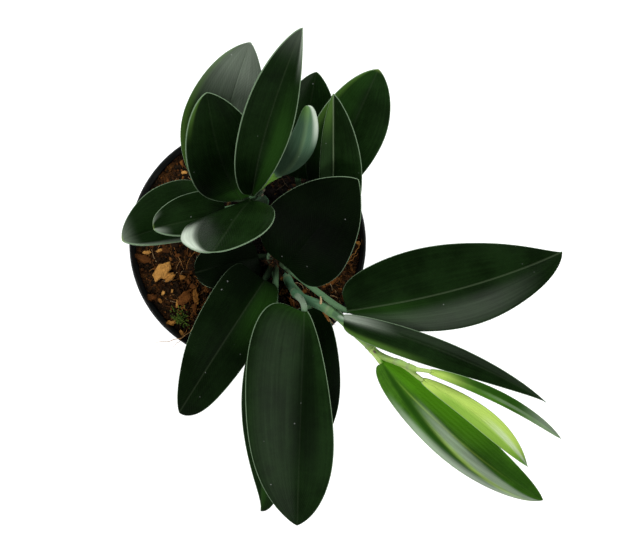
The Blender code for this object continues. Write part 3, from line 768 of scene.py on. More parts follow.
def soil_finish():
    """Peat and fine bark: dark brown with rust and tan crumbs."""
    f = Finish("mix_soil")
    place = f.object_place()
    cloud = f.noise(place, scale=110.0, detail=5.0, rough=0.65)
    crumbs = f.cells(place, scale=620.0)
    grain = f.noise(place, scale=1500.0, detail=4.0, rough=0.7)
    colour = f.times(f.ramp(cloud, SOIL_STOPS), 0.45 + 1.1 * grain)
    f.bump(grain + (1 - crumbs["Distance"] * 500.0), distance=0.0006)
    # The mix is darker among the stems, as painted shade
    return f.close(Base_Color=painted_shade(f, place, colour), Roughness=0.95, Specular_IOR_Level=DRY_GLOSS)


def bits_finish():
    """Bark and peat bits: each has a shade of its own, from black brown over rust to tan, with fine grain."""
    f = Finish("mix_bits")
    place = f.object_place()
    grain = f.noise(place, scale=900.0, detail=4.0, rough=0.65)
    patches = f.noise(place, scale=350.0, detail=3.0, rough=0.6)
    colour = f.times(f.ramp(f.layer("shade"), BITS_STOPS), (0.4 + 1.2 * grain) * (0.45 + 1.1 * patches))
    f.bump(grain, distance=0.0008)
    # Bits are darker among the stems, as painted shade
    return f.close(Base_Color=painted_shade(f, place, colour), Roughness=0.9, Specular_IOR_Level=DRY_GLOSS)


def fibre_finish():
    """Coconut fibre and dry roots: orange brown to straw, by each strand's own shade."""
    f = Finish("mix_fibre")
    # Fibres are darker among the stems, as painted shade
    colour = painted_shade(f, f.object_place(), f.ramp(f.layer("shade"), FIBRE_STOPS))
    return f.close(Base_Color=colour, Roughness=0.8, Specular_IOR_Level=DRY_GLOSS)


def scale_finish():
    """Dry leaf scales: pale brown to greenish straw, with fine grain."""
    f = Finish("stem_scales")
    grain = f.noise(f.object_place(), scale=800.0, detail=4.0, rough=0.65)
    colour = f.times(f.mix(f.layer("shade"), *SCALE_COLOURS), 0.5 + grain)
    f.bump(grain, distance=0.0003)
    return f.close(Base_Color=colour, Roughness=0.8)


def moss_finish():
    """Moss: deep to fresh green by each sprig's own shade."""
    f = Finish("mix_moss")
    colour = f.mix(f.layer("shade"), *MOSS_COLOURS)
    return f.close(Base_Color=colour, Roughness=0.85, Specular_IOR_Level=DRY_GLOSS)


def stem_finish():
    """Stems: waxy blue green, yellower at the young end, with fine streaks and pale rings at the nodes."""
    f = Finish("stem_green")
    share, node, turn = f.layer_parts("place")
    place = f.object_place()
    streak = f.noise(f.join(share * 6.0, turn * 14.0, 0.0), scale=1.0, detail=4.0)
    bloom = f.step(f.noise(place, scale=260.0), 0.45, 0.75)
    colour = f.mix(f.layer("young"), f.mix(streak, *STEM_COLOURS), YOUNG_STEM)
    colour = f.mix(bloom * 0.2, colour, STEM_BLOOM)
    # Painted shade where stems lie deep among the leaves
    colour = painted_stem_shade(f, place, f.mix(node * 0.5, colour, NODE_RING))
    f.bump(streak, distance=0.0002)
    return f.close(Base_Color=colour, Roughness=0.5, Specular_IOR_Level=STEM_GLOSS)


def specks(f, place):
    """1 on small round specks: the middles of the few cells whose random number is high enough."""
    cells = f.cells(place, scale=330.0)
    draw = f.node("ShaderNodeSeparateXYZ", {}, {0: cells["Color"]})[0]
    return f.step(cells["Distance"], *SPECK_EDGE) * f.step(draw, *SPECK_DRAW)


def leaf_finish(name, upper, stalk):
    """Leathery leaf: mottled upper face with veins, pale margin and midrib, dull blue green underside.

    upper holds the colours of the blade, with those of its painted light and shade, and stalk those of the
    stalk.
    """
    f = Finish(name)
    place = f.object_place()
    share, across, rim = f.layer_parts("place")
    length, width, face = f.layer_parts("lay")
    tone, rib, tip = f.layer_parts("looks")
    # The bands: painted sheen, painted shade and fresh yellow green
    painted_sheen, dark, fresh = f.layer_parts("tints")
    below = f.step(face, 0.6, 0.4)
    on_stalk = f.step(share, 0.035, -0.03)

    cloud = f.noise(place, scale=45.0, detail=4.0, rough=0.6)
    fine = f.noise(place, scale=700.0, detail=3.0, rough=0.6)
    streak = f.noise(f.join(share * 3.0, across * 16.0, tone), scale=1.0, detail=4.0, rough=0.6)
    sweep = length - VEIN_SWEEP * abs(width) - VEIN_BEND * width * width + VEIN_WANDER * cloud
    vein = f.step(abs((sweep / VEIN_SPACING) % 1.0 - 0.5), 0.36, 0.5)
    thread = abs((sweep / THREAD_SPACING) % 1.0 - 0.5) * 2.0

    colour = f.mix(f.step(cloud + 0.5 * streak, 0.55, 0.95), upper["deep"], upper["middle"])
    colour = f.times(colour, tone * (0.75 + 0.5 * fine))
    colour = f.mix(vein * 0.05, colour, upper["vein"])
    # Painted light on the lit bands; on the newest leaves it is also their own pale yellow green
    colour = f.mix(f.layer("lit") * (0.5 + streak), colour, upper["lit"])
    colour = f.mix(f.step(abs(width), 0.75, 0.2) * rib, colour, upper["rib"])

    under = f.mix(streak, upper["under_deep"], upper["under_pale"])
    under = f.mix(vein * 0.25, under, upper["vein"])
    under = f.mix(f.step(abs(width), 1.3, 0.5) * 0.7, under, stalk["pale"])
    colour = f.mix(below, colour, under)
    # The stalk, with painted shade where it lies deep among the leaves
    colour = f.mix(on_stalk, colour, painted_stem_shade(f, place, f.mix(streak, stalk["deep"], stalk["pale"])))
    # Painted shade where the leaves lie in shadow
    colour = f.mix(dark, colour, upper["dark"])
    colour = f.mix(fresh, colour, upper["fresh"])
    # Painted sheen and reflections, broken by the streaks
    colour = f.mix(painted_sheen * (0.45 + 1.1 * streak), colour, PAINTED_SHEEN)
    # The pale margin fades where shade is painted
    pale_edge = f.step(rim, 1.2, 0.5) * (1 - on_stalk) * (1 - dark)
    colour = f.mix(pale_edge * 0.8, colour, upper["margin"])
    colour = f.mix(tip * f.step(share, 0.9, 1.0), colour, upper["tip"])
    colour = f.mix(specks(f, place) * 0.4, colour, SPECK)

    f.bump(0.35 * vein + 0.02 * thread + 0.35 * fine, distance=0.00016)
    roughness = 0.32 + 0.14 * cloud + 0.2 * below
    return f.close(Base_Color=colour, Roughness=roughness, Specular_IOR_Level=LEAF_GLOSS)


# Pot

def corner(centre, radius, start, end):
    """Points of a round corner: an arc about a centre from one angle to another, in degrees."""
    turn = np.radians(np.linspace(start, end, CORNER_STEPS))
    return [(centre[0] + radius * np.cos(a), centre[1] + radius * np.sin(a)) for a in turn]


def wall_radius(height):
    """Outer radius of the pot's body at a height, a straight taper from base to rim."""
    top_radius = RIM_RADIUS - RIM_STEP
    return BASE_RADIUS + (top_radius - BASE_RADIUS) * height / POT_HEIGHT


def inner_radius(height):
    """Inner radius of the pot's body at a height."""
    return wall_radius(height) - WALL


def pot_profile():
    """Half section of the pot: over its floor, up the inside, over the rolled rim and down the outside."""
    rim_foot = POT_HEIGHT - RIM_HEIGHT
    rim_edge = RIM_RADIUS - RIM_DRAFT
    floor_edge = inner_radius(FLOOR) - FLOOR_CORNER
    inside = np.linspace(WALL_STARTS[0], rim_foot, WALL_ROWS[0])
    outside = np.linspace(rim_foot, WALL_STARTS[1], WALL_ROWS[1])
    profile = [(0, FLOOR), (DRAIN_RING - 8, FLOOR), (floor_edge, FLOOR)]
    profile += corner((floor_edge, FLOOR + FLOOR_CORNER), FLOOR_CORNER, -90, 0)
    profile += [(inner_radius(height), height) for height in inside]
    profile += corner((RIM_RADIUS - RIM_STEP / 2, POT_HEIGHT - RIM_STEP / 2), RIM_STEP / 2, 170, 0)
    profile += [(RIM_RADIUS - 0.1, POT_HEIGHT - 3), (rim_edge, rim_foot + 3 * RIM_LIP)]
    profile += corner((rim_edge - RIM_LIP, rim_foot + RIM_LIP), RIM_LIP, 0, -90)
    profile += [(wall_radius(height), height) for height in outside]
    profile += [(wall_radius(3.0) - 0.35, 3.2), (wall_radius(FOOT_HEIGHT) - FOOT_STEP, FOOT_HEIGHT)]
    profile += corner((BASE_RADIUS - FOOT_STEP - FOOT_CORNER, FOOT_CORNER), FOOT_CORNER, 0, -90)
    return np.array(profile + [(DRAIN_RING + 6, 0), (DRAIN_RING - 6, 0), (0, 0)])


def make_pot(finish):
    """The pot: its profile turned about Z, with shallow upright flutes low on the wall and drain holes."""
    profile = pot_profile()
    turn = full_turn(POT_SEGMENTS)
    radius = profile[1:-1, :1] + 0 * turn
    height = profile[1:-1, 1:] + 0 * turn
    outside = np.abs(radius - wall_radius(height)) < WALL / 2
    fade = ease(height, *FLUTE_FOOT) * ease(height, *FLUTE_TOP)
    radius = radius - outside * fade * FLUTE_DEPTH * ease(np.cos(FLUTES * turn), *FLUTE_EDGE)
    mesh = turned_mesh("nursery_pot", turned(radius, turn, height), profile[0, 1], profile[-1, 1])
    drill_pot(new_piece(mesh, finish, "pot_plastic", "pot"))


def drill_pot(piece):
    """Cut the drain holes through the pot's floor, and apply the cut."""
    ring = 2 * np.pi * (np.arange(DRAIN_HOLES) + 0.5) / DRAIN_HOLES
    paths = turned(DRAIN_RING, ring, 0)[:, None] + np.array([(0, 0, -FLOOR), (0, 0, 2 * FLOOR)])
    points, faces = many_tubes(paths, np.full(paths.shape[:2], DRAIN_RADIUS), DRAIN_SIDES)
    drill = show("drill", new_mesh("drill", points, faces, smooth=False))
    cut = piece.modifiers.new("drain_holes", "BOOLEAN")
    cut.object = drill
    cut.solver = "EXACT"
    evaluated = piece.evaluated_get(bpy.context.evaluated_depsgraph_get())
    drilled = bpy.data.meshes.new_from_object(evaluated)
    piece.modifiers.clear()
    piece.data = drilled
    drilled.name = "nursery_pot"
    drilled.set_sharp_from_angle(angle=np.radians(SHARP_EDGE))
    bpy.data.objects.remove(drill)


# Mix

def soil_relief(x, y):
    """Height of the mix over its mean level: round lumps at seeded places, the tallest one counts."""
    draws = np.random.default_rng(SOIL_SEED)
    reach = wall_radius(SOIL_HEIGHT)
    places = draws.uniform(-reach, reach, (SOIL_LUMPS, 2))
    heights = draws.uniform(SOIL_LEAST, 1.0, SOIL_LUMPS) * SOIL_LUMP
    away = np.hypot(x[..., None] - places[:, 0], y[..., None] - places[:, 1]) / SOIL_LUMP_REACH
    return (heights * np.clip(1 - away ** 2, 0, None)).max(axis=-1)


def soil_level(x, y):
    """Height of the mix's top: its lumps, faded out at the wall, and two sizes of crumbs."""
    inward = 1 - np.hypot(x, y) / (inner_radius(SOIL_HEIGHT) - GAP)
    fade = np.clip(inward / SOIL_EDGE, 0, 1)
    crumbs = sum(height * waves(x, y, length, seed) for height, length, seed in CRUMB_WAVES)
    crumbs = np.clip(crumbs, -CRUMB_LIMIT, CRUMB_LIMIT)
    return SOIL_HEIGHT + fade * soil_relief(x, y) + crumbs * ease(inward, *CRUMB_EDGE)


def make_soil(finish):
    """The plug of mix in the pot: a polar grid on its crumbly top, a plain wall and a flat bottom."""
    bottom = FLOOR + GAP
    turn = full_turn(SOIL_SEGMENTS)
    radius = np.linspace(0, inner_radius(SOIL_HEIGHT) - GAP, SOIL_RINGS + 1)[1:, None]
    level = soil_level(radius * np.cos(turn), radius * np.sin(turn))
    foot = turned(inner_radius(bottom) - GAP, turn, bottom)
    rings = np.concatenate([turned(radius, turn, level), foot[None]])
    centre = np.array([0.0])
    mesh = turned_mesh("potting_mix", rings, soil_level(centre, centre)[0], bottom)
    new_piece(mesh, finish, "mix", "soil")


BIT_ROWS, BIT_SIDES = 3, 6
CRUMB_SIDES = 5
BARK_ROWS, BARK_SIDES = 6, 14
BIT_WAIST = 0.35
BIT_JAG = 0.28


def random_turns(draws, count, tilt):
    """Rotation matrices: any heading about Z, then leaned over by up to the tilt, in radians."""
    spin = draws.uniform(0, 2 * np.pi, count)
    lean = draws.uniform(-tilt, tilt, count)
    cos_s, sin_s, cos_l, sin_l = np.cos(spin), np.sin(spin), np.cos(lean), np.sin(lean)
    zero, one = np.zeros(count), np.ones(count)
    about_z = np.array([[cos_s, -sin_s, zero], [sin_s, cos_s, zero], [zero, zero, one]])
    about_x = np.array([[one, zero, zero], [zero, cos_l, -sin_l], [zero, sin_l, cos_l]])
    return np.einsum("ijn,jkn->nik", about_z, about_x)


def lumps(draws, places, sizes, tilt, rows=BIT_ROWS, sides=BIT_SIDES, rough=0.16):
    """Angular bits: flat topped rings with a jagged outline, every point pushed at random, then turned."""
    count = len(places)
    level = np.linspace(-1, 1, rows)
    ring = 1 - BIT_WAIST * level ** 2
    turn = full_turn(sides)
    jag = draws.uniform(-BIT_JAG, BIT_JAG, (count, 1, sides, 1))
    bits = np.empty((count, rows, sides, 3))
    bits[..., :2] = np.stack([np.cos(turn), np.sin(turn)], -1) * (1 + jag) * ring[:, None, None]
    bits[..., 2] = level[:, None]
    bits *= (1 + draws.uniform(-rough, rough, bits.shape)) * sizes[:, None, None, :] / 2
    bits = np.einsum("nij,nrsj->nrsi", random_turns(draws, count, tilt), bits)
    return bits + places[:, None, None, :], repeat_faces(tube_faces(rows, sides), rows * sides, count)


def on_soil(x, y):
    """Points on the mix's top."""
    return np.stack([x, y, soil_level(x, y)], -1)


def scattered(draws, count, inset):
    """Seeded places evenly over the mix, at its level."""
    radius = (inner_radius(SOIL_HEIGHT) - inset) * np.sqrt(draws.uniform(0, 1, count))
    turn = draws.uniform(0, 2 * np.pi, count)
    return on_soil(radius * np.cos(turn), radius * np.sin(turn))


BITS_SEED = 21
BARK_SEED = 22
CRUMBS = 3200
CRUMB_SIZES = (0.5, 1.7)
CRUMB_SHAPES = (0.7, 1.2)
CRUMB_TILT = 1.2
CRUMB_SHADES = (0.0, 0.8)
FLAKES = 760
FLAKE_SIZES = (1.6, 5.0)
FLAKE_SHAPES = ((0.8, 0.35, 0.2), (1.2, 0.7, 0.4))
FLAKE_TILT = 0.45
FLAKE_LIFT = 0.15
FLAKE_SHADES = (0.1, 1.0)
BARK_TILT = 0.15
BARK_ROUGH = 0.14
BARK_LIFT = 0.3
# Bark that stands out: its place, its length, width and thickness, its heading in degrees, and its shade
MARKED_BARK = [
    ((-42.8, -13.8), (11.5, 7.5, 3.4), 200, 0.97), ((-39.8, -17.0), (6.0, 4.0, 3.6), 120, 0.93),
    ((-53.0, -7.5), (9.0, 4.0, 2.6), 100, 0.62), ((-26.3, -27.0), (7.5, 3.2, 2.4), 80, 0.84),
    ((-27.0, -33.0), (6.5, 2.6, 2.2), 95, 0.7), ((-43.1, -25.2), (2.4, 1.4, 1.5), 20, 1.0),
    ((-38.5, -24.2), (2.2, 1.2, 1.4), 60, 0.97), ((-39.3, -40.4), (6.4, 2.4, 2.0), 85, 0.92),
    ((-33.6, -45.2), (3.4, 2.2, 2.0), 30, 0.95), ((56.0, 0.2), (3.0, 1.8, 1.6), 15, 0.92),
    ((39.7, -37.4), (4.4, 3.0, 2.2), 40, 0.78), ((17.9, -24.7), (5.0, 3.2, 2.2), 70, 0.8),
    ((28.0, -25.0), (4.4, 2.6, 2.0), 10, 0.76), ((43.5, -19.0), (6.0, 3.0, 2.0), 60, 0.74),
    ((-31.7, -27.5), (9.0, 5.0, 2.4), 65, 0.74), ((-49.4, -27.5), (5.5, 3.6, 2.4), 20, 0.6),
]


def make_bits(finish):
    """Crumbs of peat and flakes of bark over the mix."""
    draws = np.random.default_rng(BITS_SEED)
    places = scattered(draws, CRUMBS, inset=1.5)
    sizes = draws.uniform(*CRUMB_SIZES, (CRUMBS, 1)) * draws.uniform(*CRUMB_SHAPES, (CRUMBS, 3))
    crumbs = lumps(draws, places, sizes, CRUMB_TILT, sides=CRUMB_SIDES)
    crumb_shades = draws.uniform(*CRUMB_SHADES, CRUMBS) ** 1.2

    places = scattered(draws, FLAKES, inset=3.5)
    sizes = draws.uniform(*FLAKE_SIZES, (FLAKES, 1)) * draws.uniform(*FLAKE_SHAPES, (FLAKES, 3))
    places[:, 2] += FLAKE_LIFT * sizes[:, 2]
    flakes = lumps(draws, places, sizes, FLAKE_TILT)
    flake_shades = draws.uniform(*FLAKE_SHADES, FLAKES) ** 1.5
    parts = [(*crumbs, crumb_shades), (*flakes, flake_shades)]
    shaded_piece("mix_crumbs", parts, finish, "mix", smooth=False)


def make_marked_bark(finish):
    """The larger pieces of bark, each a jagged flat lump with more facets, lying on the mix."""
    draws = np.random.default_rng(BARK_SEED)
    parts = []
    for (x, y), size, heading, shade in MARKED_BARK:
        origin, sizes = np.zeros((1, 3)), np.array([size], float)
        points, faces = lumps(draws, origin, sizes, BARK_TILT, BARK_ROWS, BARK_SIDES, BARK_ROUGH)
        spin = np.radians(heading)
        turn = np.array([[np.cos(spin), -np.sin(spin), 0], [np.sin(spin), np.cos(spin), 0], [0, 0, 1]])
        level = soil_level(np.array([x]), np.array([y]))[0]
        points = points.reshape(-1, 3) @ turn.T + (x, y, level + BARK_LIFT * size[2])
        parts.append((points, faces, [shade]))
    shaded_piece("bark_pieces", parts, finish, "mix", smooth=False)


STRAND_SEED = 31
STRANDS = 760
STRAND_LENGTHS = (4.0, 15.0)
STRAND_BENDS = (-1.6, 1.6)
STRAND_LIFTS = (0.1, 1.4)
STRAND_RADII = (0.07, 0.2)
STRAND_SHADES = (0.05, 1.0)
STRAND_ROWS = 8
STRAND_SIDES = 3
STRAND_REFERENCE = (0.2, 0.3, 0.93)


def make_strands(finish):
    """Coconut fibres and fine roots: thin curved tubes that lie in and on the mix."""
    draws = np.random.default_rng(STRAND_SEED)
    start = scattered(draws, STRANDS, inset=6.0)
    length = draws.uniform(*STRAND_LENGTHS, STRANDS)
    heading = draws.uniform(0, 2 * np.pi, STRANDS)
    bend = draws.uniform(*STRAND_BENDS, STRANDS)
    t = np.linspace(-0.5, 0.5, STRAND_ROWS)
    angle = heading[:, None] + bend[:, None] * t
    x = start[:, :1] + length[:, None] * t * np.cos(angle)
    y = start[:, 1:2] + length[:, None] * t * np.sin(angle)
    shrink = np.minimum(1, (inner_radius(SOIL_HEIGHT) - 1.0) / np.hypot(x, y))
    path = on_soil(x * shrink, y * shrink)
    path[..., 2] += draws.uniform(*STRAND_LIFTS, STRANDS)[:, None] * np.cos(np.pi * t) - 0.2
    radius = draws.uniform(*STRAND_RADII, STRANDS)[:, None] * (1 - 2.4 * t ** 2)
    tubes = many_tubes(path, radius, STRAND_SIDES, STRAND_REFERENCE)
    shaded_piece("coir_strands", [(*tubes, draws.uniform(*STRAND_SHADES, STRANDS))], finish, "mix")


# Roots and twigs that stand out: the points that each passes through, its radius and its shade
MARKED_ROOTS = [
    ([(-27, -42, 101), (-31.7, -46.9, 105.4), (-40, -49.5, 106.2), (-46.9, -50, 104)], 0.28, 0.9),
    ([(-31, -44, 101), (-34, -49, 105.6), (-38, -52.5, 105)], 0.2, 0.8),
    ([(38.3, -32.5, 124.5), (39.8, -36, 124), (41.3, -39.2, 123)], 1.5, 0.72),
    ([(40, -36, 124), (42.5, -39.5, 123.5), (44.5, -41, 123)], 0.3, 0.95),
    ([(36.8, -30.5, 126.5), (37.2, -28.5, 128), (36.9, -26.5, 129)], 0.7, 1.0),
    ([(51, -8, 101), (55, -4, 103), (58, 2, 102)], 0.3, 0.75),
    ([(46, -12, 101), (52, -9, 103.5), (56, -5, 102)], 0.3, 0.6),
]
ROOT_STEPS = 12
ROOT_SIDES = 6
KINK_SIZE = 0.25
KINK_RATE = 23
KINK_SHIFT = 60
KINK_HEADING = np.array([0.6, -0.8, 0.3])


def make_roots(finish):
    """The roots and twigs that stand out, each a tapering tube along its own curve."""
    parts = []
    for points, radius, shade in MARKED_ROOTS:
        path = smooth_path(points, ROOT_STEPS)
        share, _ = along(path)
        kinks = KINK_SIZE * np.sin(share * KINK_RATE + radius * KINK_SHIFT)[:, None] * KINK_HEADING
        tube = tube_points(path + kinks, radius * (1.1 - 0.8 * share), ROOT_SIDES)
        parts.append((tube, tube_faces(len(path), ROOT_SIDES), [shade]))
    shaded_piece("pale_roots", parts, finish, "mix")


CROWN_SEED = 51
CROWN_PLACE = (15.5, -9.2, 120.5)
CROWN_REACH = (5.5, 3.6, 2.6)
CROWN_HAIRS = 150
HAIR_LENGTHS = (0.5, 1.25)
HAIR_RADII = (0.08, 0.2)
HAIR_BEND = 0.9
# Hairs and chips at the crown are kept dark: the crown's own dark colour, with painted shade, as it lies deep
# among the stems
HAIR_SHADES = (0.0, 0.9)
CROWN_CHIPS = 14
CHIP_SIZES = (0.9, 2.2)
CHIP_SHAPES = (0.5, 1.1)
CHIP_TILT = 1.2
CHIP_SHADES = (0.0, 0.35)


def make_crown_hairs(draws, finish):
    """Fine dry hairs that stick out of the old crown, where the low stem ends, all round."""
    away = unit(draws.normal(0, 1, (CROWN_HAIRS, 3)) + (0, 0, 0.5))
    foot = CROWN_PLACE + 0.35 * away * CROWN_REACH
    reach = draws.uniform(*HAIR_LENGTHS, (CROWN_HAIRS, 1))
    bend = draws.normal(0, HAIR_BEND, (CROWN_HAIRS, 3))
    t = np.linspace(0, 1, STRAND_ROWS)[None, :, None]
    path = foot[:, None] + t * (away * reach * CROWN_REACH)[:, None] + t * (1 - t) * bend[:, None] * 2
    radius = draws.uniform(*HAIR_RADII, (CROWN_HAIRS, 1)) * (1.1 - t[..., 0])
    tubes = many_tubes(path, radius, STRAND_SIDES, STRAND_REFERENCE)
    shades = draws.uniform(*HAIR_SHADES, CROWN_HAIRS) ** 3
    shaded_piece("crown_hairs", [(*tubes, shades)], finish, "mix")


def make_crown_chips(draws, finish):
    """Chips round the old crown, dark with the crown's colour and painted shade."""
    spread = unit(draws.normal(0, 1, (CROWN_CHIPS, 3)) + (0, 0, 0.8))
    places = CROWN_PLACE + 0.75 * spread * CROWN_REACH
    sizes = draws.uniform(*CHIP_SIZES, (CROWN_CHIPS, 1)) * draws.uniform(*CHIP_SHAPES, (CROWN_CHIPS, 3))
    chips = lumps(draws, places, sizes, CHIP_TILT)
    shades = draws.uniform(*CHIP_SHADES, CROWN_CHIPS)
    shaded_piece("crown_chips", [(*chips, shades)], finish, "mix", smooth=False)


SCALE_SEED = 61
SCALE_ROWS = 9
SCALE_SIDES = 10
SCALE_LENGTHS = (1.3, 1.9)
SCALE_SHADES = (0.45, 0.95)
SCALE_REFERENCE = (0.31, 0.22, 0.92)


def make_scales(finish):
    """A dry pointed scale on each stem at every leaf: a flattened cone that leans away from the stem."""
    draws = np.random.default_rng(SCALE_SEED)
    paths, radii, shades = [], [], []
    t = np.linspace(0, 1, SCALE_ROWS)
    for leaf in LEAVES.values():
        point, heading = point_on(leaf["stem"], leaf["at"])
        toward = np.subtract(leaf["base"], point)
        aside = unit(np.cross(heading, toward)) * draws.choice((-1, 1))
        width = stem_radius(leaf["stem"], leaf["at"])
        foot = point + aside * width * 0.55
        reach = width * draws.uniform(*SCALE_LENGTHS)
        paths.append(foot + t[:, None] * heading * reach + (t ** 2)[:, None] * aside * reach * 0.45)
        radii.append(width * 0.5 * np.sqrt(1 - t ** 1.5) + 0.04)
        shades.append(draws.uniform(*SCALE_SHADES))
    tubes = many_tubes(np.array(paths), np.array(radii), SCALE_SIDES, SCALE_REFERENCE)
    shaded_piece("node_scales", [(*tubes, shades)], finish, "stem_green")


MOSS_SEED = 41
MOSS_PLACE = (-35.3, -38.6)
MOSS_SPRIGS = 260
MOSS_SPREAD = 2.6
SPRIG_LENGTHS = (1.2, 2.8)
SPRIG_LEANS = (0.2, 1.2)
SPRIG_RADII = (0.22, 0.28, 0.18, 0.03)
SPRIG_SIDES = 4


def make_moss(finish):
    """A tuft of moss: short pointed sprigs that lean outwards from its middle."""
    draws = np.random.default_rng(MOSS_SEED)
    away = np.abs(draws.normal(0, MOSS_SPREAD, MOSS_SPRIGS))
    turn = draws.uniform(0, 2 * np.pi, MOSS_SPRIGS)
    x = MOSS_PLACE[0] + away * np.cos(turn)
    y = MOSS_PLACE[1] + 1.3 * away * np.sin(turn)
    inside = np.hypot(x, y) < inner_radius(SOIL_HEIGHT) - 3.5
    turn = turn[inside]
    foot = on_soil(x[inside], y[inside]) - (0, 0, 0.2)
    count = len(foot)
    reach = draws.uniform(*SPRIG_LENGTHS, (count, 1))
    lean = turned(1, turn, 0) * draws.uniform(*SPRIG_LEANS, (count, 1))
    tip = foot + reach * unit(lean + (0, 0, 1))
    t = np.linspace(0, 1, len(SPRIG_RADII))[None, :, None]
    path = foot[:, None] + (tip - foot)[:, None] * t
    sprigs = many_tubes(path, np.array(SPRIG_RADII) + 0 * reach, SPRIG_SIDES)
    shaded_piece("moss_tuft", [(*sprigs, draws.uniform(0, 1, count))], finish, "mix")


# Stems

def stem_radius(name, share):
    """Radius of a stem at shares of its length: its steps, joined by straight lines."""
    steps = STEMS[name]["radius"]
    return np.interp(share, np.linspace(0, 1, len(steps)), steps)


def point_on(name, share):
    """The point and the direction of a stem at a share of its length."""
    path = smooth_path(STEMS[name]["points"], STEM_STEPS)
    places, _ = along(path)

    def at(place):
        """The point of the path at a share of its length."""
        return np.array([np.interp(place, places, path[:, k]) for k in range(3)])

    return at(share), unit(at(min(share + HEADING_STEP, 1)) - at(max(share - HEADING_STEP, 0)))


def make_stem(name, finish):
    """A round stem: an even taper, swollen where each leaf leaves, with a ringed scar and rounded ends."""
    path = smooth_path(STEMS[name]["points"], STEM_STEPS)
    share, length = along(path)
    radii = stem_radius(name, share)
    node = np.zeros_like(share)
    for leaf in LEAVES.values():
        if leaf["stem"] == name:
            away = (share - leaf["at"]) * length
            radii = radii * (1 + NODE_SWELL * hump(away, 0, NODE_LENGTH))
            radii = (radii + RING_RISE * hump(away, -RING_BACK, RING_LENGTH)
                     - RING_GROOVE * hump(away, -RING_GROOVE_BACK, RING_LENGTH))
            node = np.maximum(node, hump(away, -RING_BACK, RING_PALE_LENGTH))
    past_end = np.minimum(share, 1 - share) * length / STEMS[name]["radius"][-1]
    radii = radii * np.sqrt(np.clip(1 - (1 - np.clip(past_end, LEAST_END, 1)) ** 2, 0, 1))

    turn = np.arange(STEM_SIDES) / STEM_SIDES
    ribs = (1 + STEM_RIB_DEPTH * np.sin(2 * np.pi * turn * STEM_RIBS)
            + STEM_BEND_DEPTH * np.sin(2 * np.pi * turn * STEM_BENDS))
    points = tube_points(path, radii, STEM_SIDES)
    points = path[:, None] + (points - path[:, None]) * ribs[None, :, None]
    young = ease(share, *YOUNG_STRETCH) if name == "stem_trailing" else 0 * share
    place = np.stack([np.repeat(share * length / STREAK_LENGTH, STEM_SIDES), np.repeat(node, STEM_SIDES),
                      np.tile(np.abs(turn * 2 - 1), len(path))], -1)
    layers = {"place": place, "young": np.repeat(young, STEM_SIDES)[:, None]}
    mesh = new_mesh(name.replace("stem", "vine"), points, tube_faces(len(path), STEM_SIDES), layers)
    new_piece(mesh, finish, "stem_green", name)


# Leaves

def blade_rib(leaf, u):
    """Midrib of a blade: a parabola from base to tip, arched up by bow and to the right by sway."""
    base = np.asarray(leaf["base"], float)
    tip = np.asarray(leaf["tip"], float)
    forward = unit(tip - base)
    side = unit(np.cross(forward, (0, 0, 1)))
    top = np.cross(side, forward)
    middle = (base + tip) / 2 + 2 * leaf["bow"] * top + 2 * leaf["sway"] * side
    rib = (1 - u) ** 2 * base + 2 * u * (1 - u) * middle + u ** 2 * tip
    heading = unit(2 * (1 - u) * (middle - base) + 2 * u * (tip - middle))
    return rib, heading, side


def stalk_rib(leaf, base_heading):
    """Stalk: a cubic that leaves the stem on its own heading and meets the blade on the midrib's."""
    start, stem_heading = point_on(leaf["stem"], leaf["at"])
    base = np.asarray(leaf["base"], float)
    reach = np.linalg.norm(base - start)
    outward = unit(unit(base - start) + PETIOLE_LEAN * stem_heading)
    first = start + outward * reach * PETIOLE_LEAVE
    second = base - base_heading * reach * leaf["arrive"]
    t = np.linspace(0, 1, STALK_ROWS, endpoint=False)[:, None]
    rib = ((1 - t) ** 3 * start + 3 * t * (1 - t) ** 2 * first
           + 3 * t ** 2 * (1 - t) * second + t ** 3 * base)
    heading = unit((1 - t) ** 2 * (first - start) + 2 * t * (1 - t) * (second - first)
                   + t ** 2 * (base - second))
    return rib, heading


def leaf_rows():
    """Each row's place on the stalk, from -1 to 0, and on the blade, from 0 to 1, as two columns."""
    on_stalk = np.concatenate([np.linspace(-1, 0, STALK_ROWS, endpoint=False), np.zeros(BLADE_ROWS + 1)])
    on_blade = np.concatenate([np.zeros(STALK_ROWS), np.linspace(0, 1, BLADE_ROWS + 1)])
    return on_stalk[:, None], on_blade[:, None]


def leaf_frame(leaf, t):
    """The middle line of stalk and blade, its heading, and the right and up axes, turned by the roll."""
    u = (1 - np.cos(np.pi * t[STALK_ROWS:])) / 2
    rib, heading, side = blade_rib(leaf, u)
    stalk, stalk_heading = stalk_rib(leaf, heading[0])
    rib = np.concatenate([stalk, rib])
    heading = np.concatenate([stalk_heading, heading])
    right = unit(side - (heading @ side)[:, None] * heading)
    up = np.cross(right, heading)
    roll = np.radians(leaf["roll"])
    right, up = right * np.cos(roll) + up * np.sin(roll), up * np.cos(roll) - right * np.sin(roll)
    return rib, heading[:, None], right[:, None], up[:, None]


def outline(t, width, belly, base_end, tip_end):
    """Half width of a blade: a sine of the row, raised to a power that goes from the base's to the tip's."""
    power = base_end * (1 - t) + tip_end * t
    return width * np.abs(np.sin(np.pi * t ** belly)) ** power


def half_widths(leaf, t, stalk, draws):
    """Half width left and right in each row: the outline, a little uneven, joined to the stalk's radius."""
    halves = []
    for side in (0, 1):
        blade = outline(t, *(leaf[key][side] for key in OUTLINE))
        wobble = 1 + WOBBLE * np.sin(2 * np.pi * (WOBBLES * t + draws.uniform())) * np.sin(np.pi * t)
        halves.append(np.maximum(np.hypot(blade * wobble, stalk * (1 - t) ** 2), TIP_HALF_WIDTH))
    return halves


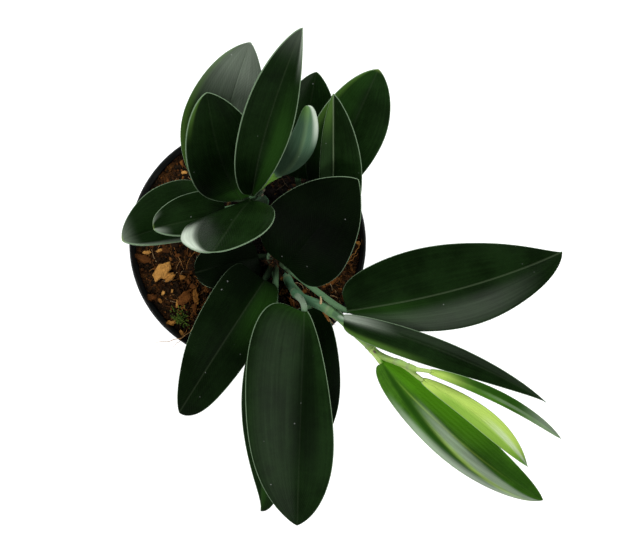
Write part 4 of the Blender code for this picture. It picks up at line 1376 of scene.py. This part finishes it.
def openness(leaf, t):
    """How far each row has opened from the stalk's round section, 0, into the flat blade, 1."""
    mean_half = outline(t, *(np.mean(leaf[key]) for key in OUTLINE))
    return np.maximum(np.clip(mean_half / (OPENING_WIDTH * leaf["stalk"]), 0, 1), ease(t, 0, OPEN_BY))


def column_places(half):
    """Columns from midrib to margin, as shares of the half width, and how far each is round the margin.

    The inner columns crowd towards the midrib. The last few go round the margin, a half circle as wide as the
    margin is thick, so their thickness follows its cosine.
    """
    margin = np.minimum(MARGIN_THICK / 2 / half, 0.5)
    inner = (1 - margin) * np.linspace(0, 1, INNER_COLUMNS) ** COLUMN_CROWD
    turn = np.linspace(0, np.pi / 2, MARGIN_COLUMNS + 1)[1:]
    outer = 1 - margin * (1 - np.sin(turn))
    thick = np.concatenate([np.ones(INNER_COLUMNS), np.cos(turn)])
    return np.concatenate([inner, outer], axis=1), thick


def columns(halves):
    """Left margin to right margin: share of the half width, side, half width and thickness of the margin."""
    left_away, thick = column_places(halves[0])
    right_away, _ = column_places(halves[1])
    away = np.concatenate([left_away[:, :0:-1], right_away], axis=1)
    sign = np.concatenate([-np.ones(left_away.shape[1] - 1), np.ones(right_away.shape[1])])[None, :]
    half = np.where(sign < 0, *halves)
    return away, sign, half, np.concatenate([thick[:0:-1], thick])[None, :]


def leaf_relief(leaf, t, away, sign, draws):
    """Slow seeded waves that lift the margins, and the pleats of a young blade, in millimetres."""
    phase = np.where(sign < 0, draws.uniform(0, 2 * np.pi), draws.uniform(0, 2 * np.pi))
    rate = np.where(sign < 0, draws.uniform(*WAVE_RATES), draws.uniform(*WAVE_RATES))
    wave = leaf["wave"] * np.sin(2 * np.pi * rate * t + phase) * away ** 2 * np.sin(np.pi * t)
    pleat = leaf["pleat"] * np.cos(2 * np.pi * PLEATS * away) * np.sin(np.pi * t) * (away < PLEAT_EDGE)
    return wave + pleat


def leaf_surface(leaf, draws):
    """Middle surface, normals, thicknesses and layers of stalk and blade, as arrays of rows by columns.

    Across a row, each half starts at the fold angle and bends by the curl angle to its margin, so it is an
    arc of a circle. The stalk is the same surface, narrow and round, and opens into the blade. A groove and a
    ridge follow the midrib on the two faces.
    """
    on_stalk, t = leaf_rows()
    rib, heading, right, up = leaf_frame(leaf, t)
    flare = 1 + FOOT_FLARE * hump(on_stalk + 1, 0, FOOT_LENGTH) * (on_stalk < 0)
    halves = half_widths(leaf, t, leaf["stalk"] * flare, draws)
    away, sign, half, margin_round = columns(halves)
    flat = openness(leaf, t)
    width = away * half * sign

    fold = np.radians(leaf["fold"])
    curl = np.radians(np.where(sign < 0, *leaf["curl"]))
    bend = fold + curl * away
    arc_out = half * (np.sin(bend) - np.sin(fold)) / curl
    arc_up = half * (np.cos(fold) - np.cos(bend)) / curl
    round_out = half * np.sin(away * np.pi / 2)
    out = sign * (flat * arc_out + (1 - flat) * round_out)
    length = np.linalg.norm(np.subtract(leaf["tip"], leaf["base"]))
    lobe = np.where(sign < 0, *leaf["lobe"])
    back = -4 * lobe * length * np.sin(np.pi * t) * (1 - t) ** 3 * away

    surface = (rib[:, None] + heading * back[..., None] + right * out[..., None]
               + up * (flat * arc_up)[..., None])
    lean = flat * bend * sign
    normals = up * np.cos(lean)[..., None] - right * np.sin(lean)[..., None]
    surface = surface + normals * (flat * leaf_relief(leaf, t, away, sign, draws))[..., None]

    taper = np.sqrt(np.clip((1 - t) / TIP_TAPER, TIP_LEAST, 1))
    blade_thick = (BLADE_THICK + (MARGIN_THICK - BLADE_THICK) * away) / 2 * margin_round * taper
    stalk_thick = leaf["stalk"] * flare * np.cos(away * np.pi / 2)
    upper = flat * blade_thick + (1 - flat) * stalk_thick
    lower = upper + flat * RIB_THICK * (1 - t) * hump(width, 0, RIB_WIDTH)
    upper = upper - flat * GROOVE_DEPTH * hump(width, 0, GROOVE_WIDTH) * ease(1 - t, 0, GROOVE_FADE)

    rims = half * (1 - away) / np.where(sign < 0, *leaf["rims"])
    place = np.stack([t + on_stalk + 0 * away, width / half, rims], -1)
    lay = np.stack([midrib_length(rib)[:, None] + 0 * away, width, 0 * away], -1)
    return surface, normals, upper, lower, place, lay


def midrib_length(rib):
    """Distance along the midrib from the blade's base, negative on the stalk."""
    share, length = along(rib)
    return (share - share[STALK_ROWS]) * length


def leaf_tints(name, place):
    """Strength of each coloured band at each point: a bell across the blade between two places along it."""
    tints = {tint: np.zeros(place.shape[:2]) for tint in TINTS}
    share, across = place[..., 0], place[..., 1]
    for tint, base_at, tip_at, width, start, end, strength in BANDS.get(name, ()):
        middle = base_at + (tip_at - base_at) * share
        reach = ease(share, start, start + BAND_FADE_IN) * ease(share, end, end - BAND_FADE_OUT)
        band = hump(across, middle, width, BAND_POWER)
        tints[tint] = np.maximum(tints[tint], strength * reach * band)
    return tints


def both_faces(values):
    """A layer for the points of the upper face and then for those of the lower face, without its margins."""
    parts = values.shape[2:]
    return np.concatenate([values.reshape(-1, *parts), values[:, 1:-1].reshape(-1, *parts)])


def leaf_faces(rows, columns):
    """Triangles of a closed skin: two faces that share their margins, and a strip across each end."""
    top = np.arange(rows * columns).reshape(rows, columns)
    under = top.copy()
    under[:, 1:-1] = rows * columns + np.arange(rows * (columns - 2)).reshape(rows, columns - 2)
    first = grid_faces(np.stack([under[0], top[0]]))
    last = grid_faces(np.stack([top[-1], under[-1]]))
    return np.concatenate([grid_faces(top), grid_faces(under)[:, ::-1], first, last])


def make_leaf(name, leaf, finish, slot, seed):
    """A leaf, stalk and blade in one closed skin: the two faces share their margins."""
    surface, normals, upper, lower, place, lay = leaf_surface(leaf, np.random.default_rng(seed))
    top = surface + normals * upper[..., None]
    under = (surface - normals * lower[..., None])[:, 1:-1]
    points = np.concatenate([top.reshape(-1, 3), under.reshape(-1, 3)])
    lay = both_faces(lay)
    lay[:upper.size, 2] = 1.0
    tints = leaf_tints(name, place)
    looks = np.broadcast_to([leaf["tone"], leaf["rib"], leaf["yellow"]], points.shape)
    banded = np.stack([tints["painted_sheen"], tints["dark"], tints["fresh"]], -1)
    layers = {"place": both_faces(place), "lay": lay, "looks": looks,
              "lit": both_faces(tints["lit"])[:, None], "tints": both_faces(banded)}
    mesh = new_mesh(name.replace("leaf", "blade"), points, leaf_faces(*upper.shape), layers)
    new_piece(mesh, finish, slot, name)


# Stage

CAMERA_PLACE = (36.66, -18.33, 905.0)
CAMERA_LENS = 88.9
STAGE_REACH = 6000.0
STAGE_HEIGHT = -0.2
FLOOR_COLOUR = (0.86, 0.86, 0.86)
FLOOR_GLOW = 0.35
# Each light: where it stands, its width and height, and its power in watts. All face one place in the plant
LIGHT_TARGET = (30, -20, 120)
LIGHTS = {
    "key": ((800, 500, 900), (500, 500), 9.0),
    "left": ((-900, 100, 900), (700, 700), 10.0),
    "front": ((100, -1000, 900), (900, 500), 8.0),
    "back": ((0, 1000, 900), (900, 500), 8.0),
}
# Soft light from all round, by how high it comes from: 0 level, 1 straight above
SKY_STOPS = [(0.0, (0.9, 0.9, 0.9)), (0.45, (0.75, 0.76, 0.78)), (0.9, (0.15, 0.15, 0.16))]
SKY_STRENGTH = 0.25


def make_floor():
    """A pale floor just under the pot, wide enough to fill the view."""
    corners = np.array([(-1, -1), (1, -1), (1, 1), (-1, 1)]) * STAGE_REACH
    points = np.column_stack([corners, np.full(4, STAGE_HEIGHT)])
    mesh = new_mesh("floor", points, np.array([(0, 1, 2), (0, 2, 3)]), smooth=False)
    f = Finish("floor")
    mesh.materials.append(f.close(Base_Color=FLOOR_COLOUR, Roughness=0.9,
                                  Emission_Color=(1.0, 1.0, 1.0), Emission_Strength=FLOOR_GLOW))
    show("floor", mesh)


def make_lights():
    """Soft rectangular lights round the plant, all facing one place in it."""
    for name, (place, size, power) in LIGHTS.items():
        data = bpy.data.lights.new(name, "AREA")
        data.shape = "RECTANGLE"
        data.size, data.size_y = size[0] * MM, size[1] * MM
        data.energy = power
        lamp = show(name, data)
        lamp.location = Vector(place) * MM
        facing = Vector(LIGHT_TARGET) * MM - lamp.location
        lamp.rotation_euler = facing.to_track_quat("-Z", "Y").to_euler()


def make_camera():
    """The camera, straight above the plant and looking down."""
    data = bpy.data.cameras.new("camera")
    data.lens = CAMERA_LENS
    camera = show("camera", data)
    camera.location = Vector(CAMERA_PLACE) * MM
    bpy.context.scene.camera = camera


def make_world():
    """Soft light from all round, darker straight above."""
    world = bpy.data.worlds.new("studio")
    world.use_nodes = True
    bpy.context.scene.world = world
    nodes, links = world.node_tree.nodes, world.node_tree.links
    place = nodes.new("ShaderNodeTexCoord")
    parts = nodes.new("ShaderNodeSeparateXYZ")
    ramp = nodes.new("ShaderNodeValToRGB")
    set_stops(ramp.color_ramp, SKY_STOPS)
    links.new(place.outputs["Generated"], parts.inputs[0])
    links.new(parts.outputs["Z"], ramp.inputs[0])
    links.new(ramp.outputs[0], nodes["Background"].inputs["Color"])
    nodes["Background"].inputs["Strength"].default_value = SKY_STRENGTH
    bpy.context.scene.view_settings.view_transform = "Standard"


def make_leaves():
    """All the leaves, each with a seed of its own, in the dark or the young finish."""
    finishes = {"leaf_dark": leaf_finish("leaf_dark", DARK_UPPER, DARK_STALK),
                "leaf_young": leaf_finish("leaf_young", YOUNG_UPPER, YOUNG_STALK)}
    for seed, (name, values) in enumerate(LEAVES.items(), LEAF_SEED):
        slot = "leaf_young" if name in YOUNG_LEAVES else "leaf_dark"
        make_leaf(name, {**LEAF_DEFAULTS, **values}, finishes[slot], slot, seed)


def build():
    """Make every piece, the stage and the camera."""
    make_floor()
    make_lights()
    make_camera()
    make_world()
    make_pot(pot_finish())
    make_soil(soil_finish())
    bits, fibre, stem = bits_finish(), fibre_finish(), stem_finish()
    make_bits(bits)
    make_marked_bark(bits)
    make_strands(fibre)
    make_moss(moss_finish())
    for name in STEMS:
        make_stem(name, stem)
    make_roots(fibre)
    crown_draws = np.random.default_rng(CROWN_SEED)
    make_crown_hairs(crown_draws, fibre)
    make_crown_chips(crown_draws, bits)
    make_scales(scale_finish())
    make_leaves()


build()
